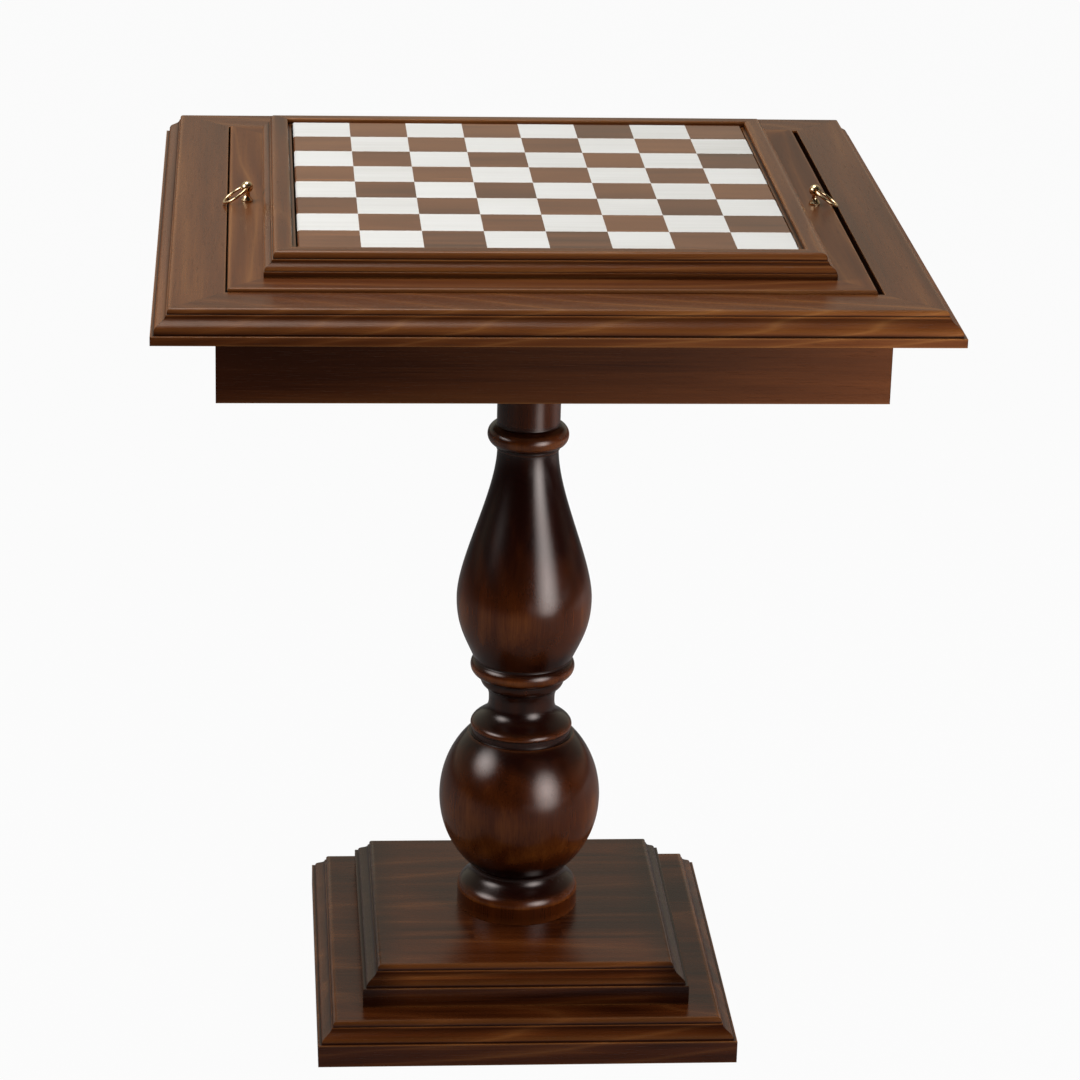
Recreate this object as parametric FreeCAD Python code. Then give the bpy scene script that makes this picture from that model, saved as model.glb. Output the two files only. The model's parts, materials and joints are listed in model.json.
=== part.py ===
# Square pedestal chess table with an inlaid board on a lift-out panel. Millimetres, +Z up, +X to the
# right and -Y to the front. The origin is the middle of the underside of the plinth, on the ground.
import FreeCAD, Part
import os
from collections import namedtuple
from math import acos, asin, atan2, cos, degrees, hypot, pi, sin, sqrt, tan
from FreeCAD import Vector

# Moulded edge, from the bottom up: a plain face, a ledge, a short step, an ogee that is round below and
# hollow above, a fillet, a quirk and a small quarter round that ends in the flat.
Moulding = namedtuple("Moulding", "face ledge step ogee_run ogee_rise fillet quirk rounding")
TOP_EDGE = Moulding(face=7.6, ledge=3.0, step=3.0, ogee_run=9.5, ogee_rise=11.2, fillet=0.9, quirk=1.5,
                    rounding=3.3)
BOARD_EDGE = Moulding(face=5.2, ledge=0.6, step=0.5, ogee_run=6.2, ogee_rise=8.1, fillet=1.0, quirk=2.0,
                      rounding=4.2)
UPPER_PLINTH_EDGE = Moulding(face=18.2, ledge=3.0, step=1.0, ogee_run=9.2, ogee_rise=10.5, fillet=1.2,
                             quirk=1.6, rounding=3.8)
LOWER_PLINTH_EDGE = Moulding(face=21.0, ledge=3.0, step=1.0, ogee_run=9.2, ogee_rise=10.5, fillet=1.2,
                             quirk=1.6, rounding=3.8)
OGEE_FULLNESS = 0.45  # how far the ogee runs upright before it turns, as a share of its rise

# Board
SQUARES = 8
SQUARE = 51.4
SQUARE_THICKNESS = 4.0
BOARD_CORE_THICKNESS = 13.7
BOARD_BEVEL = 1.2
BOARD_GAP = 1.4  # shadow gap between the board and its raised frame
BOARD_FRAME_FLAT = 9.5
BOARD_FRAME_STEP = 5.0  # from the flat down to the inner ledge
BOARD_FRAME_INNER_ROUND = 2.0
BOARD_FRAME_LEDGE = 3.0

# Lift-out panel
PANEL_BORDER = 29.0  # bare border between the raised frame and the panel's edge
PANEL_PROUD = 3.0  # how far the panel stands above the top frame
PANEL_ROUND = 2.6
PANEL_RAIL_LAP = 20.0  # how far the border rails run in under the raised frame
PANEL_CORE_THICKNESS = 12.0
PANEL_CORE_REBATE = 10.0
PANEL_PLAY = 7.0  # opening less panel
PANEL_LEFT_GAP = 1.6
PANEL_FRONT_GAP = 1.0

# Top frame
TOP_RAIL_WIDTH = 59.0  # from the lip to the opening
TOP_REBATE_WIDTH = 16.0  # ledge inside the opening that carries the panel
TOP_REBATE_FLOOR = 8.6
SPLINE_LENGTH = 36.0
SPLINE_WIDTH = 24.0
SPLINE_THICKNESS = 4.0

# Apron and well
APRON_HEIGHT = 64.2
APRON_THICKNESS = 20.0
APRON_OUTSET = 8.0  # apron face outside the edge of the opening
DOWEL_DIAMETER = 8.0
DOWEL_IN_RAIL = 6.0
DOWEL_IN_APRON = 28.0
DOWEL_SPACING = 340.0
FLOOR_THICKNESS = 15.0
FLOOR_RISE = 12.0  # apron wood below the floor's groove
FLOOR_GROOVE = 8.0
FLOOR_EDGE_GAP = 0.5
BLOCK_WIDTH = 170.0
BLOCK_THICKNESS = 28.0
BLOCK_CHAMFER = 6.0
BLOCK_SCREW_SPACING = 120.0
BLOCK_SCREW_LENGTH = 34.0

# Plinth
LOWER_PLINTH_WIDTH = 374.0
UPPER_PLINTH_WIDTH = 293.0
PLINTH_SCREW_SPACING = 190.0
PLINTH_SCREW_LENGTH = 44.0
PLINTH_SCREW_SINK = 14.0
PLINTH_SCREW_BORE = 12.0

# Turned column, from the foot up
FOOT_DIAMETER = 110.8
FOOT_HEIGHT = 15.5
FOOT_SHOULDER_RISE = 24.0
FOOT_SHOULDER_TURN = 0.5  # where it turns from round to hollow, as a share of its rise
FOOT_NECK_DIAMETER = 83.0
BALL_DIAMETER = 147.2
BALL_SEMI_HEIGHT = 83.0
BALL_TOP_DIAMETER = 96.0
BAND_DIAMETER = 90.4
BAND_HEIGHT = 6.5
COLLAR_DIAMETER = 92.6
COLLAR_NOSE = 1.5
COLLAR_FLARE_RISE = 23.0
COLLAR_FLARE_TURN = 0.35
WAIST_DIAMETER = 60.0
WAIST_RISE = 15.0
WAIST_TOP_DIAMETER = 66.0
SMALL_RING_DIAMETER = 77.0
SMALL_RING_HEIGHT = 9.0
RING_FILLET_HEIGHT = 2.0
RING_DIAMETER = 94.6
RING_HEIGHT = 16.0
RING_TOP_DIAMETER = 88.0
VASE_FOOT_DIAMETER = 90.0
VASE_FOOT_LEAN = 0.45  # how far the vase leans out for each unit up where it leaves its foot
VASE_BELLY_DIAMETER = 122.2
VASE_BELLY_RISE = 56.0
VASE_BELLY_FULLNESS = 0.45  # how far the belly runs upright below its widest, as a share of its rise
VASE_NECK_DIAMETER = 54.8
VASE_NECK_RISE = 143.0
VASE_TAPER_LOW = 0.25  # how far the taper runs upright above the belly, as a share of its rise
VASE_TAPER_HIGH = 0.3  # how far it runs upright below the neck
NECK_FILLET_DIAMETER = 57.0
NECK_FILLET_HEIGHT = 3.0
TOP_BEAD_DIAMETER = 72.8
TOP_BEAD_HEIGHT = 20.0
TOP_NECK_DIAMETER = 56.6
TOP_NECK_HEIGHT = 5.0
CAP_FLARE_RISE = 76.0
CAP_FLARE_DIAMETER = 96.0
CAP_DIAMETER = 104.0
CAP_HEIGHT = 12.0

# Tie rod through the column
ROD_DIAMETER = 10.0
ROD_BORE = 11.0
ROD_PROUD = 3.0  # rod end past its nut
ROD_COVER = 2.0  # room past the rod's end in its recess
NUT_SIDES = 6
NUT_ACROSS_FLATS = 17.0
NUT_HEIGHT = 8.0
WASHER_DIAMETER = 30.0
WASHER_THICKNESS = 2.0
RECESS_DIAMETER = 34.0

# Countersunk wood screws
SCREW_HEAD = 8.0
SCREW_SHANK = 4.5
SCREW_CONE = 3.0
SCREW_RIM = 0.5
SCREW_POINT = 5.0
BOARD_SCREW_SPACING = 260.0
BOARD_SCREW_LENGTH = 22.0

# Ring pulls
PULL_INSET = 15.5  # from the panel's edge to the post
POST_FLANGE_DIAMETER = 10.0
POST_FLANGE_HEIGHT = 1.2
POST_NECK_DIAMETER = 4.8
POST_BALL_DIAMETER = 10.2
PIVOT_HEIGHT = 12.3
STUD_DIAMETER = 4.0
STUD_LENGTH = 14.0
RING_PULL_RADIUS = 12.0  # to the middle of the wire
RING_WIRE_DIAMETER = 2.4

# Clearances
FIT = 0.1  # round a fixed pin, screw or rod
SWING_GAP = 0.3  # round the moving rings

# Widths, from the board outwards
board_half = SQUARES * SQUARE / 2
board_frame_inner = board_half + BOARD_GAP


def edge_depth(edge):
    """Distance from the face to the flat of a moulded edge."""
    return edge.ledge + edge.ogee_run + edge.fillet + edge.rounding


def edge_height(edge):
    """Height of a moulded edge from its underside to its flat."""
    return edge.face + edge.step + edge.ogee_rise + edge.quirk + edge.rounding


board_frame_width = (edge_depth(BOARD_EDGE) + BOARD_FRAME_FLAT + BOARD_FRAME_INNER_ROUND
                     + BOARD_FRAME_LEDGE)
board_frame_half = board_frame_inner + board_frame_width
panel_half = board_frame_half + PANEL_BORDER
panel_rail_inner = board_frame_half - PANEL_RAIL_LAP
panel_core_half = panel_rail_inner + PANEL_CORE_REBATE
opening_half = panel_half + PANEL_PLAY / 2
top_half = opening_half + TOP_RAIL_WIDTH
apron_half = opening_half + APRON_OUTSET
apron_inner = apron_half - APRON_THICKNESS
panel_drift = Vector(PANEL_LEFT_GAP - PANEL_PLAY / 2, PANEL_FRONT_GAP - PANEL_PLAY / 2, 0)

# Heights, from the ground up
lower_plinth_top = edge_height(LOWER_PLINTH_EDGE)
column_base = lower_plinth_top + edge_height(UPPER_PLINTH_EDGE)


def ball_offset(radius):
    """Height above or below the ball's middle at which it has this radius."""
    return BALL_SEMI_HEIGHT * sqrt(1 - (2 * radius / BALL_DIAMETER) ** 2)


ball_low = column_base + FOOT_HEIGHT + FOOT_SHOULDER_RISE
ball_middle = ball_low + ball_offset(FOOT_NECK_DIAMETER / 2)
ball_high = ball_middle + ball_offset(BALL_TOP_DIAMETER / 2)
collar_low = ball_high + BAND_HEIGHT
collar_high = collar_low + COLLAR_NOSE
waist_low = collar_high + COLLAR_FLARE_RISE
waist_high = waist_low + WAIST_RISE
small_ring_high = waist_high + SMALL_RING_HEIGHT
ring_low = small_ring_high + RING_FILLET_HEIGHT
ring_high = ring_low + RING_HEIGHT
vase_low = ring_high + RING_FILLET_HEIGHT
belly = vase_low + VASE_BELLY_RISE
neck_fillet_low = belly + VASE_NECK_RISE
top_bead_low = neck_fillet_low + NECK_FILLET_HEIGHT
top_bead_high = top_bead_low + TOP_BEAD_HEIGHT
flare_low = top_bead_high + TOP_NECK_HEIGHT
cap_low = flare_low + CAP_FLARE_RISE
column_top = cap_low + CAP_HEIGHT

block_top = column_top + BLOCK_THICKNESS
floor_top = block_top + FLOOR_THICKNESS
apron_base = block_top - FLOOR_RISE
frame_base = apron_base + APRON_HEIGHT
frame_top = frame_base + edge_height(TOP_EDGE)
panel_base = frame_base + TOP_REBATE_FLOOR
panel_top = frame_top + PANEL_PROUD
board_base = panel_top + BOARD_CORE_THICKNESS
board_top = board_base + SQUARE_THICKNESS
recess_depth = WASHER_THICKNESS + NUT_HEIGHT + ROD_PROUD + ROD_COVER

UP = Vector(0, 0, 1)
ORIGIN = Vector(0, 0, 0)
FULL_TURN = 360
SIDES = ("front", "right", "back", "left")
QUARTER_TURN = FULL_TURN / len(SIDES)


class Outline:
    """A closed outline drawn in (across, up) and set in space by a placing function."""

    def __init__(self, place, across, up):
        self.place = place
        self.start = self.end = (across, up)
        self.edges = []

    def _add(self, curve, end):
        self.edges.append(curve.toShape())
        self.end = end

    def line(self, across, up):
        self._add(Part.LineSegment(self.place(*self.end), self.place(across, up)), (across, up))

    def arc(self, through, end):
        self._add(Part.Arc(self.place(*self.end), self.place(*through), self.place(*end)), end)

    def curve(self, first, second, end):
        poles = [self.place(*point) for point in (self.end, first, second, end)]
        bezier = Part.BezierCurve()
        bezier.setPoles(poles)
        self._add(bezier, end)

    def quarter(self, centre, end):
        """Quarter circle about the centre."""
        radius = hypot(end[0] - centre[0], end[1] - centre[1])
        half = ((self.end[0] + end[0]) / 2 - centre[0], (self.end[1] + end[1]) / 2 - centre[1])
        stretch = radius / hypot(*half)
        self.arc((centre[0] + half[0] * stretch, centre[1] + half[1] * stretch), end)

    def face(self):
        self.line(*self.start)
        return Part.Face(Part.Wire(self.edges))


def draw_edge(outline, edge, base):
    """Draws a moulded edge upwards from the foot of its face, with its underside at base."""
    up = base + edge.face
    outline.line(0, up)
    outline.line(edge.ledge, up)
    low = up + edge.step
    outline.line(edge.ledge, low)
    across = edge.ledge + edge.ogee_run
    high = low + edge.ogee_rise
    reach = edge.ogee_rise * OGEE_FULLNESS
    outline.curve((edge.ledge, low + reach), (across, high - reach), (across, high))
    across = across + edge.fillet
    outline.line(across, high)
    high = high + edge.quirk
    outline.line(across, high)
    outline.quarter((across + edge.rounding, high), (across + edge.rounding, high + edge.rounding))


def front_section(half):
    """Places an outline in the left end plane of a front rail whose face lies at -half."""
    return lambda across, up: Vector(-half, -half + across, up)


def lathe_section(radius, up):
    """Places an outline in the plane that a turned piece is spun from."""
    return Vector(radius, 0, up)


def turned(outline):
    """Solid of revolution about the Z axis."""
    return outline.face().revolve(ORIGIN, UP, FULL_TURN)


def block(x_half, y_half, low, high):
    """Upright block about the Z axis."""
    return Part.makeBox(2 * x_half, 2 * y_half, high - low, Vector(-x_half, -y_half, low))


def rod(diameter, low, high, x=0, y=0):
    """Upright round bar."""
    return Part.makeCylinder(diameter / 2, high - low, Vector(x, y, low))


def cut_all(shape, cutters):
    """The shape less every cutter."""
    return shape.cut(Part.makeCompound(cutters)) if cutters else shape


def moved(shape, offset):
    copy = shape.copy()
    copy.translate(offset)
    return copy


def turned_about_z(shape, angle):
    copy = shape.copy()
    copy.rotate(ORIGIN, UP, angle)
    return copy


def four_ways(shape):
    """The shape on each of the four sides, starting at the front."""
    return [turned_about_z(shape, QUARTER_TURN * turn) for turn in range(len(SIDES))]


def front_quarter(half, low, high):
    """Upright prism over the front quarter of a square, between its diagonals."""
    corners = [Vector(0, 0, low), Vector(-half, -half, low), Vector(half, -half, low)]
    return Part.Face(Part.makePolygon(corners + corners[:1])).extrude(UP * (high - low))


def mitred(bar, half):
    """Four rails from a bar along the front, each cut to its quarter between the diagonals."""
    box = bar.BoundBox
    return four_ways(bar.common(front_quarter(half, box.ZMin, box.ZMax)))


def named(prefix, rails):
    return {prefix + "_" + side: rail for side, rail in zip(SIDES, rails)}


def square_places(spacing):
    """Corners of a square of this spacing about the Z axis."""
    return [(x * spacing / 2, y * spacing / 2) for x in (-1, 1) for y in (-1, 1)]


def screw(length, grow=0):
    """Countersunk screw pointing down from its head's top at the origin, or the hole for it."""
    outline = Outline(lathe_section, 0, -length - grow)
    outline.line(SCREW_SHANK / 2 + grow, -length + SCREW_POINT - grow)
    outline.line(SCREW_SHANK / 2 + grow, -SCREW_RIM - SCREW_CONE)
    outline.line(SCREW_HEAD / 2 + grow, -SCREW_RIM)
    outline.line(SCREW_HEAD / 2 + grow, 0)
    outline.line(0, 0)
    return turned(outline)


def screws(length, spacing, height, grow=0, upwards=False):
    """Four screws, or their holes, with their heads at this height."""
    one = screw(length, grow)
    if upwards:
        one.rotate(ORIGIN, Vector(1, 0, 0), 180)
    return [moved(one, Vector(x, y, height)) for x, y in square_places(spacing)]


def top_rails():
    """Moulded rails of the top frame, rebated inside for the panel, and the splines in their mitres."""
    outline = Outline(front_section(top_half), 0, frame_base)
    draw_edge(outline, TOP_EDGE, frame_base)
    outline.line(TOP_RAIL_WIDTH, frame_top)
    outline.line(TOP_RAIL_WIDTH, panel_base)
    outline.line(TOP_RAIL_WIDTH + TOP_REBATE_WIDTH, panel_base)
    outline.line(TOP_RAIL_WIDTH + TOP_REBATE_WIDTH, frame_base)
    rails = mitred(outline.face().extrude(Vector(2 * top_half, 0, 0)), top_half)
    middle = (frame_base + frame_top) / 2
    spline = block(SPLINE_WIDTH / 2, SPLINE_LENGTH / 2, middle - SPLINE_THICKNESS / 2,
                   middle + SPLINE_THICKNESS / 2)
    spline.rotate(ORIGIN, UP, -QUARTER_TURN / 2)
    reach = top_half - TOP_RAIL_WIDTH / 2
    splines = four_ways(moved(spline, Vector(-reach, -reach, 0)))
    nodes = named("top_rail", [cut_all(rail, splines + dowels(FIT)) for rail in rails])
    nodes["top_mitre_splines"] = Part.makeCompound(splines)
    return nodes


def dowels(grow=0):
    """Two dowels, or their holes, along every apron board and up into the top frame."""
    reach = apron_half - APRON_THICKNESS / 2
    along = DOWEL_SPACING / 2
    low = frame_base - DOWEL_IN_APRON - grow
    high = frame_base + DOWEL_IN_RAIL + grow
    pair = [rod(DOWEL_DIAMETER + 2 * grow, low, high, x, -reach) for x in (-along, along)]
    return [dowel for one in pair for dowel in four_ways(one)]


def apron():
    """Apron boards with a groove for the well floor, and the dowels up into the top frame."""
    outline = Outline(front_section(apron_half), 0, apron_base)
    outline.line(0, frame_base)
    outline.line(APRON_THICKNESS, frame_base)
    outline.line(APRON_THICKNESS, floor_top)
    outline.line(APRON_THICKNESS - FLOOR_GROOVE, floor_top)
    outline.line(APRON_THICKNESS - FLOOR_GROOVE, block_top)
    outline.line(APRON_THICKNESS, block_top)
    outline.line(APRON_THICKNESS, apron_base)
    boards = mitred(outline.face().extrude(Vector(2 * apron_half, 0, 0)), apron_half)
    nodes = named("apron", [cut_all(side, dowels(FIT)) for side in boards])
    nodes["apron_dowels"] = Part.makeCompound(dowels())
    return nodes


def well():
    """Floor of the well, the block under it that the column meets, and the screws between them."""
    floor_half = apron_inner + FLOOR_GROOVE - FLOOR_EDGE_GAP
    holes = screws(BLOCK_SCREW_LENGTH, BLOCK_SCREW_SPACING, floor_top, FIT)
    foot = block(BLOCK_WIDTH / 2, BLOCK_WIDTH / 2, column_top, block_top)
    lower_edges = [edge for edge in foot.Edges if edge.BoundBox.ZMax < column_top + FIT]
    foot = foot.makeChamfer(BLOCK_CHAMFER, lower_edges)
    recess = rod(RECESS_DIAMETER, block_top - recess_depth, block_top)
    return {
        "well_floor": cut_all(block(floor_half, floor_half, block_top, floor_top), holes),
        "mounting_block": cut_all(foot, holes + [recess, rod(ROD_BORE, column_top, block_top)]),
        "block_screws": Part.makeCompound(screws(BLOCK_SCREW_LENGTH, BLOCK_SCREW_SPACING, floor_top)),
    }


def column():
    """Turned column: foot, ball, collar, rings, vase, bead and flared cap, bored for the tie rod."""
    outline = Outline(lathe_section, ROD_BORE / 2, column_base)
    outline.line(FOOT_DIAMETER / 2, column_base)
    outline.line(FOOT_DIAMETER / 2, column_base + FOOT_HEIGHT)
    draw_reverse_curve(outline, FOOT_NECK_DIAMETER, ball_low, FOOT_SHOULDER_TURN)
    draw_ball(outline)
    outline.line(BAND_DIAMETER / 2, ball_high)
    outline.line(BAND_DIAMETER / 2, collar_low)
    draw_swelling(outline, COLLAR_DIAMETER, collar_high)
    draw_reverse_curve(outline, WAIST_DIAMETER, waist_low, COLLAR_FLARE_TURN)
    waist_middle = (WAIST_DIAMETER / 2, (waist_low + waist_high) / 2)
    outline.curve(waist_middle, waist_middle, (WAIST_TOP_DIAMETER / 2, waist_high))
    draw_swelling(outline, SMALL_RING_DIAMETER, small_ring_high)
    outline.line(SMALL_RING_DIAMETER / 2, ring_low)
    outline.arc((RING_DIAMETER / 2, (ring_low + ring_high) / 2), (RING_TOP_DIAMETER / 2, ring_high))
    outline.line(RING_TOP_DIAMETER / 2, vase_low)
    draw_vase(outline)
    outline.line(NECK_FILLET_DIAMETER / 2, neck_fillet_low)
    outline.line(NECK_FILLET_DIAMETER / 2, top_bead_low)
    bead_middle = (top_bead_low + top_bead_high) / 2
    outline.arc((TOP_BEAD_DIAMETER / 2, bead_middle), (TOP_NECK_DIAMETER / 2, top_bead_high))
    outline.line(TOP_NECK_DIAMETER / 2, flare_low)
    flare_middle = (TOP_NECK_DIAMETER / 2, (flare_low + cap_low) / 2)
    outline.curve(flare_middle, (TOP_NECK_DIAMETER / 2, cap_low), (CAP_FLARE_DIAMETER / 2, cap_low))
    outline.line(CAP_DIAMETER / 2, cap_low)
    outline.line(CAP_DIAMETER / 2, column_top)
    outline.line(ROD_BORE / 2, column_top)
    return {"column": turned(outline)}


def draw_reverse_curve(outline, diameter, high, turn):
    """Reverse curve, round below and hollow above, that is upright at both ends."""
    radius, low = outline.end
    level = low + (high - low) * turn
    outline.curve((radius, level), (diameter / 2, level), (diameter / 2, high))


def draw_swelling(outline, diameter, high):
    """Round that leaves the outline level and ends upright at this diameter."""
    radius, low = outline.end
    outline.curve(((radius + diameter / 2) / 2, low), (diameter / 2, (low + high) / 2), (diameter / 2, high))


def draw_ball(outline):
    """Ball as an upright ellipse from the foot's neck to the band, in two arcs that meet at its middle."""
    low = -acos(FOOT_NECK_DIAMETER / BALL_DIAMETER)
    high = acos(BALL_TOP_DIAMETER / BALL_DIAMETER)
    for start, end in ((low, 0), (0, high)):
        reach = tan((end - start) / 4) * 4 / 3  # where the poles of a cubic that follows a circle stand
        outline.curve(ball_point(start, reach), ball_point(end, -reach), ball_point(end))


def ball_point(turn, reach=0):
    """Point of the ball's outline at this turn from level, or a reach past it along the tangent."""
    across = BALL_DIAMETER / 2 * (cos(turn) - reach * sin(turn))
    up = BALL_SEMI_HEIGHT * (sin(turn) + reach * cos(turn))
    return across, ball_middle + up


def draw_vase(outline):
    """Vase: a full belly low down and a long taper up to the neck."""
    belly_radius = VASE_BELLY_DIAMETER / 2
    foot_radius = VASE_FOOT_DIAMETER / 2
    neck_radius = VASE_NECK_DIAMETER / 2
    outline.line(foot_radius, vase_low)
    third = VASE_BELLY_RISE / 3
    outline.curve((foot_radius + VASE_FOOT_LEAN * third, vase_low + third),
                  (belly_radius, belly - VASE_BELLY_RISE * VASE_BELLY_FULLNESS), (belly_radius, belly))
    outline.curve((belly_radius, belly + VASE_NECK_RISE * VASE_TAPER_LOW),
                  (neck_radius, neck_fillet_low - VASE_NECK_RISE * VASE_TAPER_HIGH),
                  (neck_radius, neck_fillet_low))


def plinth_slab(edge, half, base):
    """Square slab with the same moulded edge on all four sides."""
    outline = Outline(front_section(half), 0, base)
    draw_edge(outline, edge, base)
    outline.line(half, base + edge_height(edge))
    outline.line(half, base)
    front = outline.face().extrude(Vector(2 * half, 0, 0))
    along = front.fuse(front.mirror(ORIGIN, Vector(0, 1, 0))).removeSplitter()
    return along.common(turned_about_z(along, QUARTER_TURN))


def plinth():
    """The two plinth slabs, the screws between them and the recess for the lower nut."""
    places = square_places(PLINTH_SCREW_SPACING)
    sink = [rod(PLINTH_SCREW_BORE, 0, PLINTH_SCREW_SINK, x, y) for x, y in places]
    holes = screws(PLINTH_SCREW_LENGTH, PLINTH_SCREW_SPACING, PLINTH_SCREW_SINK, FIT, upwards=True)
    bore = rod(ROD_BORE, 0, column_base)
    recess = rod(RECESS_DIAMETER, 0, recess_depth)
    lower = plinth_slab(LOWER_PLINTH_EDGE, LOWER_PLINTH_WIDTH / 2, 0)
    upper = plinth_slab(UPPER_PLINTH_EDGE, UPPER_PLINTH_WIDTH / 2, lower_plinth_top)
    fixings = screws(PLINTH_SCREW_LENGTH, PLINTH_SCREW_SPACING, PLINTH_SCREW_SINK, upwards=True)
    return {
        "plinth_lower": cut_all(lower, holes + sink + [bore, recess]),
        "plinth_upper": cut_all(upper, holes + [bore]),
        "plinth_screws": Part.makeCompound(fixings),
    }


def tie_rod():
    """Rod that draws the plinth, the column and the block together, with its nuts and washers."""
    low_seat = recess_depth
    high_seat = block_top - recess_depth
    past = WASHER_THICKNESS + NUT_HEIGHT + ROD_PROUD
    hole = rod(ROD_DIAMETER + 2 * FIT, low_seat - past, high_seat + past)
    corner = Vector(NUT_ACROSS_FLATS / 2 / cos(pi / NUT_SIDES), 0, 0)
    turns = [FreeCAD.Rotation(UP, FULL_TURN / NUT_SIDES * side) for side in range(NUT_SIDES)]
    corners = [turn.multVec(corner) for turn in turns]
    nut = Part.Face(Part.makePolygon(corners + corners[:1])).extrude(UP * NUT_HEIGHT)
    nuts = [moved(nut, UP * (low_seat - WASHER_THICKNESS - NUT_HEIGHT)),
            moved(nut, UP * (high_seat + WASHER_THICKNESS))]
    washers = [rod(WASHER_DIAMETER, low_seat - WASHER_THICKNESS, low_seat),
               rod(WASHER_DIAMETER, high_seat, high_seat + WASHER_THICKNESS)]
    return {
        "tie_rod": rod(ROD_DIAMETER, low_seat - past, high_seat + past),
        "tie_rod_nuts": Part.makeCompound([nut.cut(hole) for nut in nuts]),
        "tie_rod_washers": Part.makeCompound([washer.cut(hole) for washer in washers]),
    }


def pull_places():
    """Foot of each ring pull on the panel before it drifts: its name, its place and its outward sense."""
    reach = panel_half - PULL_INSET
    return [("left", Vector(-reach, 0, panel_top), -1), ("right", Vector(reach, 0, panel_top), 1)]


def panel():
    """Border rails of the lift-out panel, its core, and the screws up into the board."""
    slab = block(panel_half, panel_half, panel_base, panel_top)
    rims = [edge for edge in slab.Edges if edge.BoundBox.ZMin > panel_top - FIT]
    slab = slab.makeFillet(PANEL_ROUND, rims)
    slab = slab.cut(block(panel_rail_inner, panel_rail_inner, panel_base, panel_top))
    core_base = panel_top - PANEL_CORE_THICKNESS
    slab = slab.cut(block(panel_core_half, panel_core_half, core_base, panel_top))
    studs = [rod(STUD_DIAMETER + 2 * FIT, panel_top - STUD_LENGTH - FIT, panel_top, foot.x, foot.y)
             for _, foot, _ in pull_places()]
    slab = cut_all(slab, studs)
    rails = [slab.common(quarter) for quarter in four_ways(front_quarter(panel_half, panel_base, panel_top))]
    fixings = screws(BOARD_SCREW_LENGTH, BOARD_SCREW_SPACING, core_base, upwards=True)
    nodes = named("panel_rail", rails)
    core = block(panel_core_half, panel_core_half, core_base, panel_top)
    nodes["panel_core"] = cut_all(core, board_screw_holes())
    nodes["board_screws"] = Part.makeCompound(fixings)
    return nodes


def board_screw_holes():
    core_base = panel_top - PANEL_CORE_THICKNESS
    return screws(BOARD_SCREW_LENGTH, BOARD_SCREW_SPACING, core_base, FIT, upwards=True)


def board_frame():
    """Raised moulded frame round the board, with a lower ledge inside it."""
    outline = Outline(front_section(board_frame_half), 0, panel_top)
    draw_edge(outline, BOARD_EDGE, panel_top)
    high = panel_top + edge_height(BOARD_EDGE)
    across = edge_depth(BOARD_EDGE) + BOARD_FRAME_FLAT
    outline.line(across, high)
    inside = across + BOARD_FRAME_INNER_ROUND
    outline.quarter((across, high - BOARD_FRAME_INNER_ROUND), (inside, high - BOARD_FRAME_INNER_ROUND))
    outline.line(inside, high - BOARD_FRAME_STEP)
    outline.line(board_frame_width, high - BOARD_FRAME_STEP)
    outline.line(board_frame_width, panel_top)
    bar = outline.face().extrude(Vector(2 * board_frame_half, 0, 0))
    return named("board_moulding", mitred(bar, board_frame_half))


def board():
    """Core of the board and its inlaid squares, bevelled round the outside."""
    slab = block(board_half, board_half, board_base, board_top)
    rims = [edge for edge in slab.Edges if edge.BoundBox.ZMin > board_top - FIT]
    slab = slab.makeChamfer(BOARD_BEVEL, rims)
    squares = ([], [])
    for column_index in range(SQUARES):
        for row_index in range(SQUARES):
            corner = Vector(column_index * SQUARE - board_half, row_index * SQUARE - board_half, board_base)
            square = Part.makeBox(SQUARE, SQUARE, SQUARE_THICKNESS, corner)
            squares[(column_index + row_index) % 2].append(square.common(slab))
    core = block(board_half, board_half, panel_top, board_base)
    return {
        "board_core": cut_all(core, board_screw_holes()),
        "dark_squares": Part.makeCompound(squares[0]),
        "light_squares": Part.makeCompound(squares[1]),
    }


def ring_rest_angle():
    """Slope below level at which a ring lies on the panel, on its edge if it reaches that far."""
    height = PIVOT_HEIGHT - SWING_GAP
    wire = RING_WIRE_DIAMETER / 2
    on_edge = acos(wire / hypot(height, PULL_INSET)) - atan2(PULL_INSET, height)
    if 2 * RING_PULL_RADIUS * cos(on_edge) > PULL_INSET:
        return on_edge
    return asin((height - wire) / (2 * RING_PULL_RADIUS))


def ring_post():
    """Flared post with a ball head, whose eye opens out both ways so that the ring can swing in it."""
    outline = Outline(lathe_section, 0, -STUD_LENGTH)
    outline.line(STUD_DIAMETER / 2, -STUD_LENGTH)
    outline.line(STUD_DIAMETER / 2, 0)
    outline.line(POST_FLANGE_DIAMETER / 2, 0)
    outline.line(POST_FLANGE_DIAMETER / 2, POST_FLANGE_HEIGHT)
    ball = POST_BALL_DIAMETER / 2
    neck = POST_NECK_DIAMETER / 2
    meet = PIVOT_HEIGHT - sqrt(ball ** 2 - neck ** 2)
    neck_middle = (neck, (POST_FLANGE_HEIGHT + meet) / 2)
    outline.curve(neck_middle, neck_middle, (neck, meet))
    outline.arc((ball, PIVOT_HEIGHT), (0, PIVOT_HEIGHT + ball))
    post = turned(outline)
    inner = RING_PULL_RADIUS - RING_WIRE_DIAMETER / 2 - SWING_GAP
    mouth = RING_PULL_RADIUS - sqrt(inner ** 2 - ball ** 2)
    eye = Outline(lambda along, out: Vector(out, along, PIVOT_HEIGHT), -ball, 0)
    eye.line(-ball, mouth)
    eye.arc((0, RING_PULL_RADIUS - inner), (ball, mouth))
    eye.line(ball, 0)
    return post.cut(eye.face().revolve(UP * PIVOT_HEIGHT, Vector(0, 1, 0), FULL_TURN))


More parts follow.
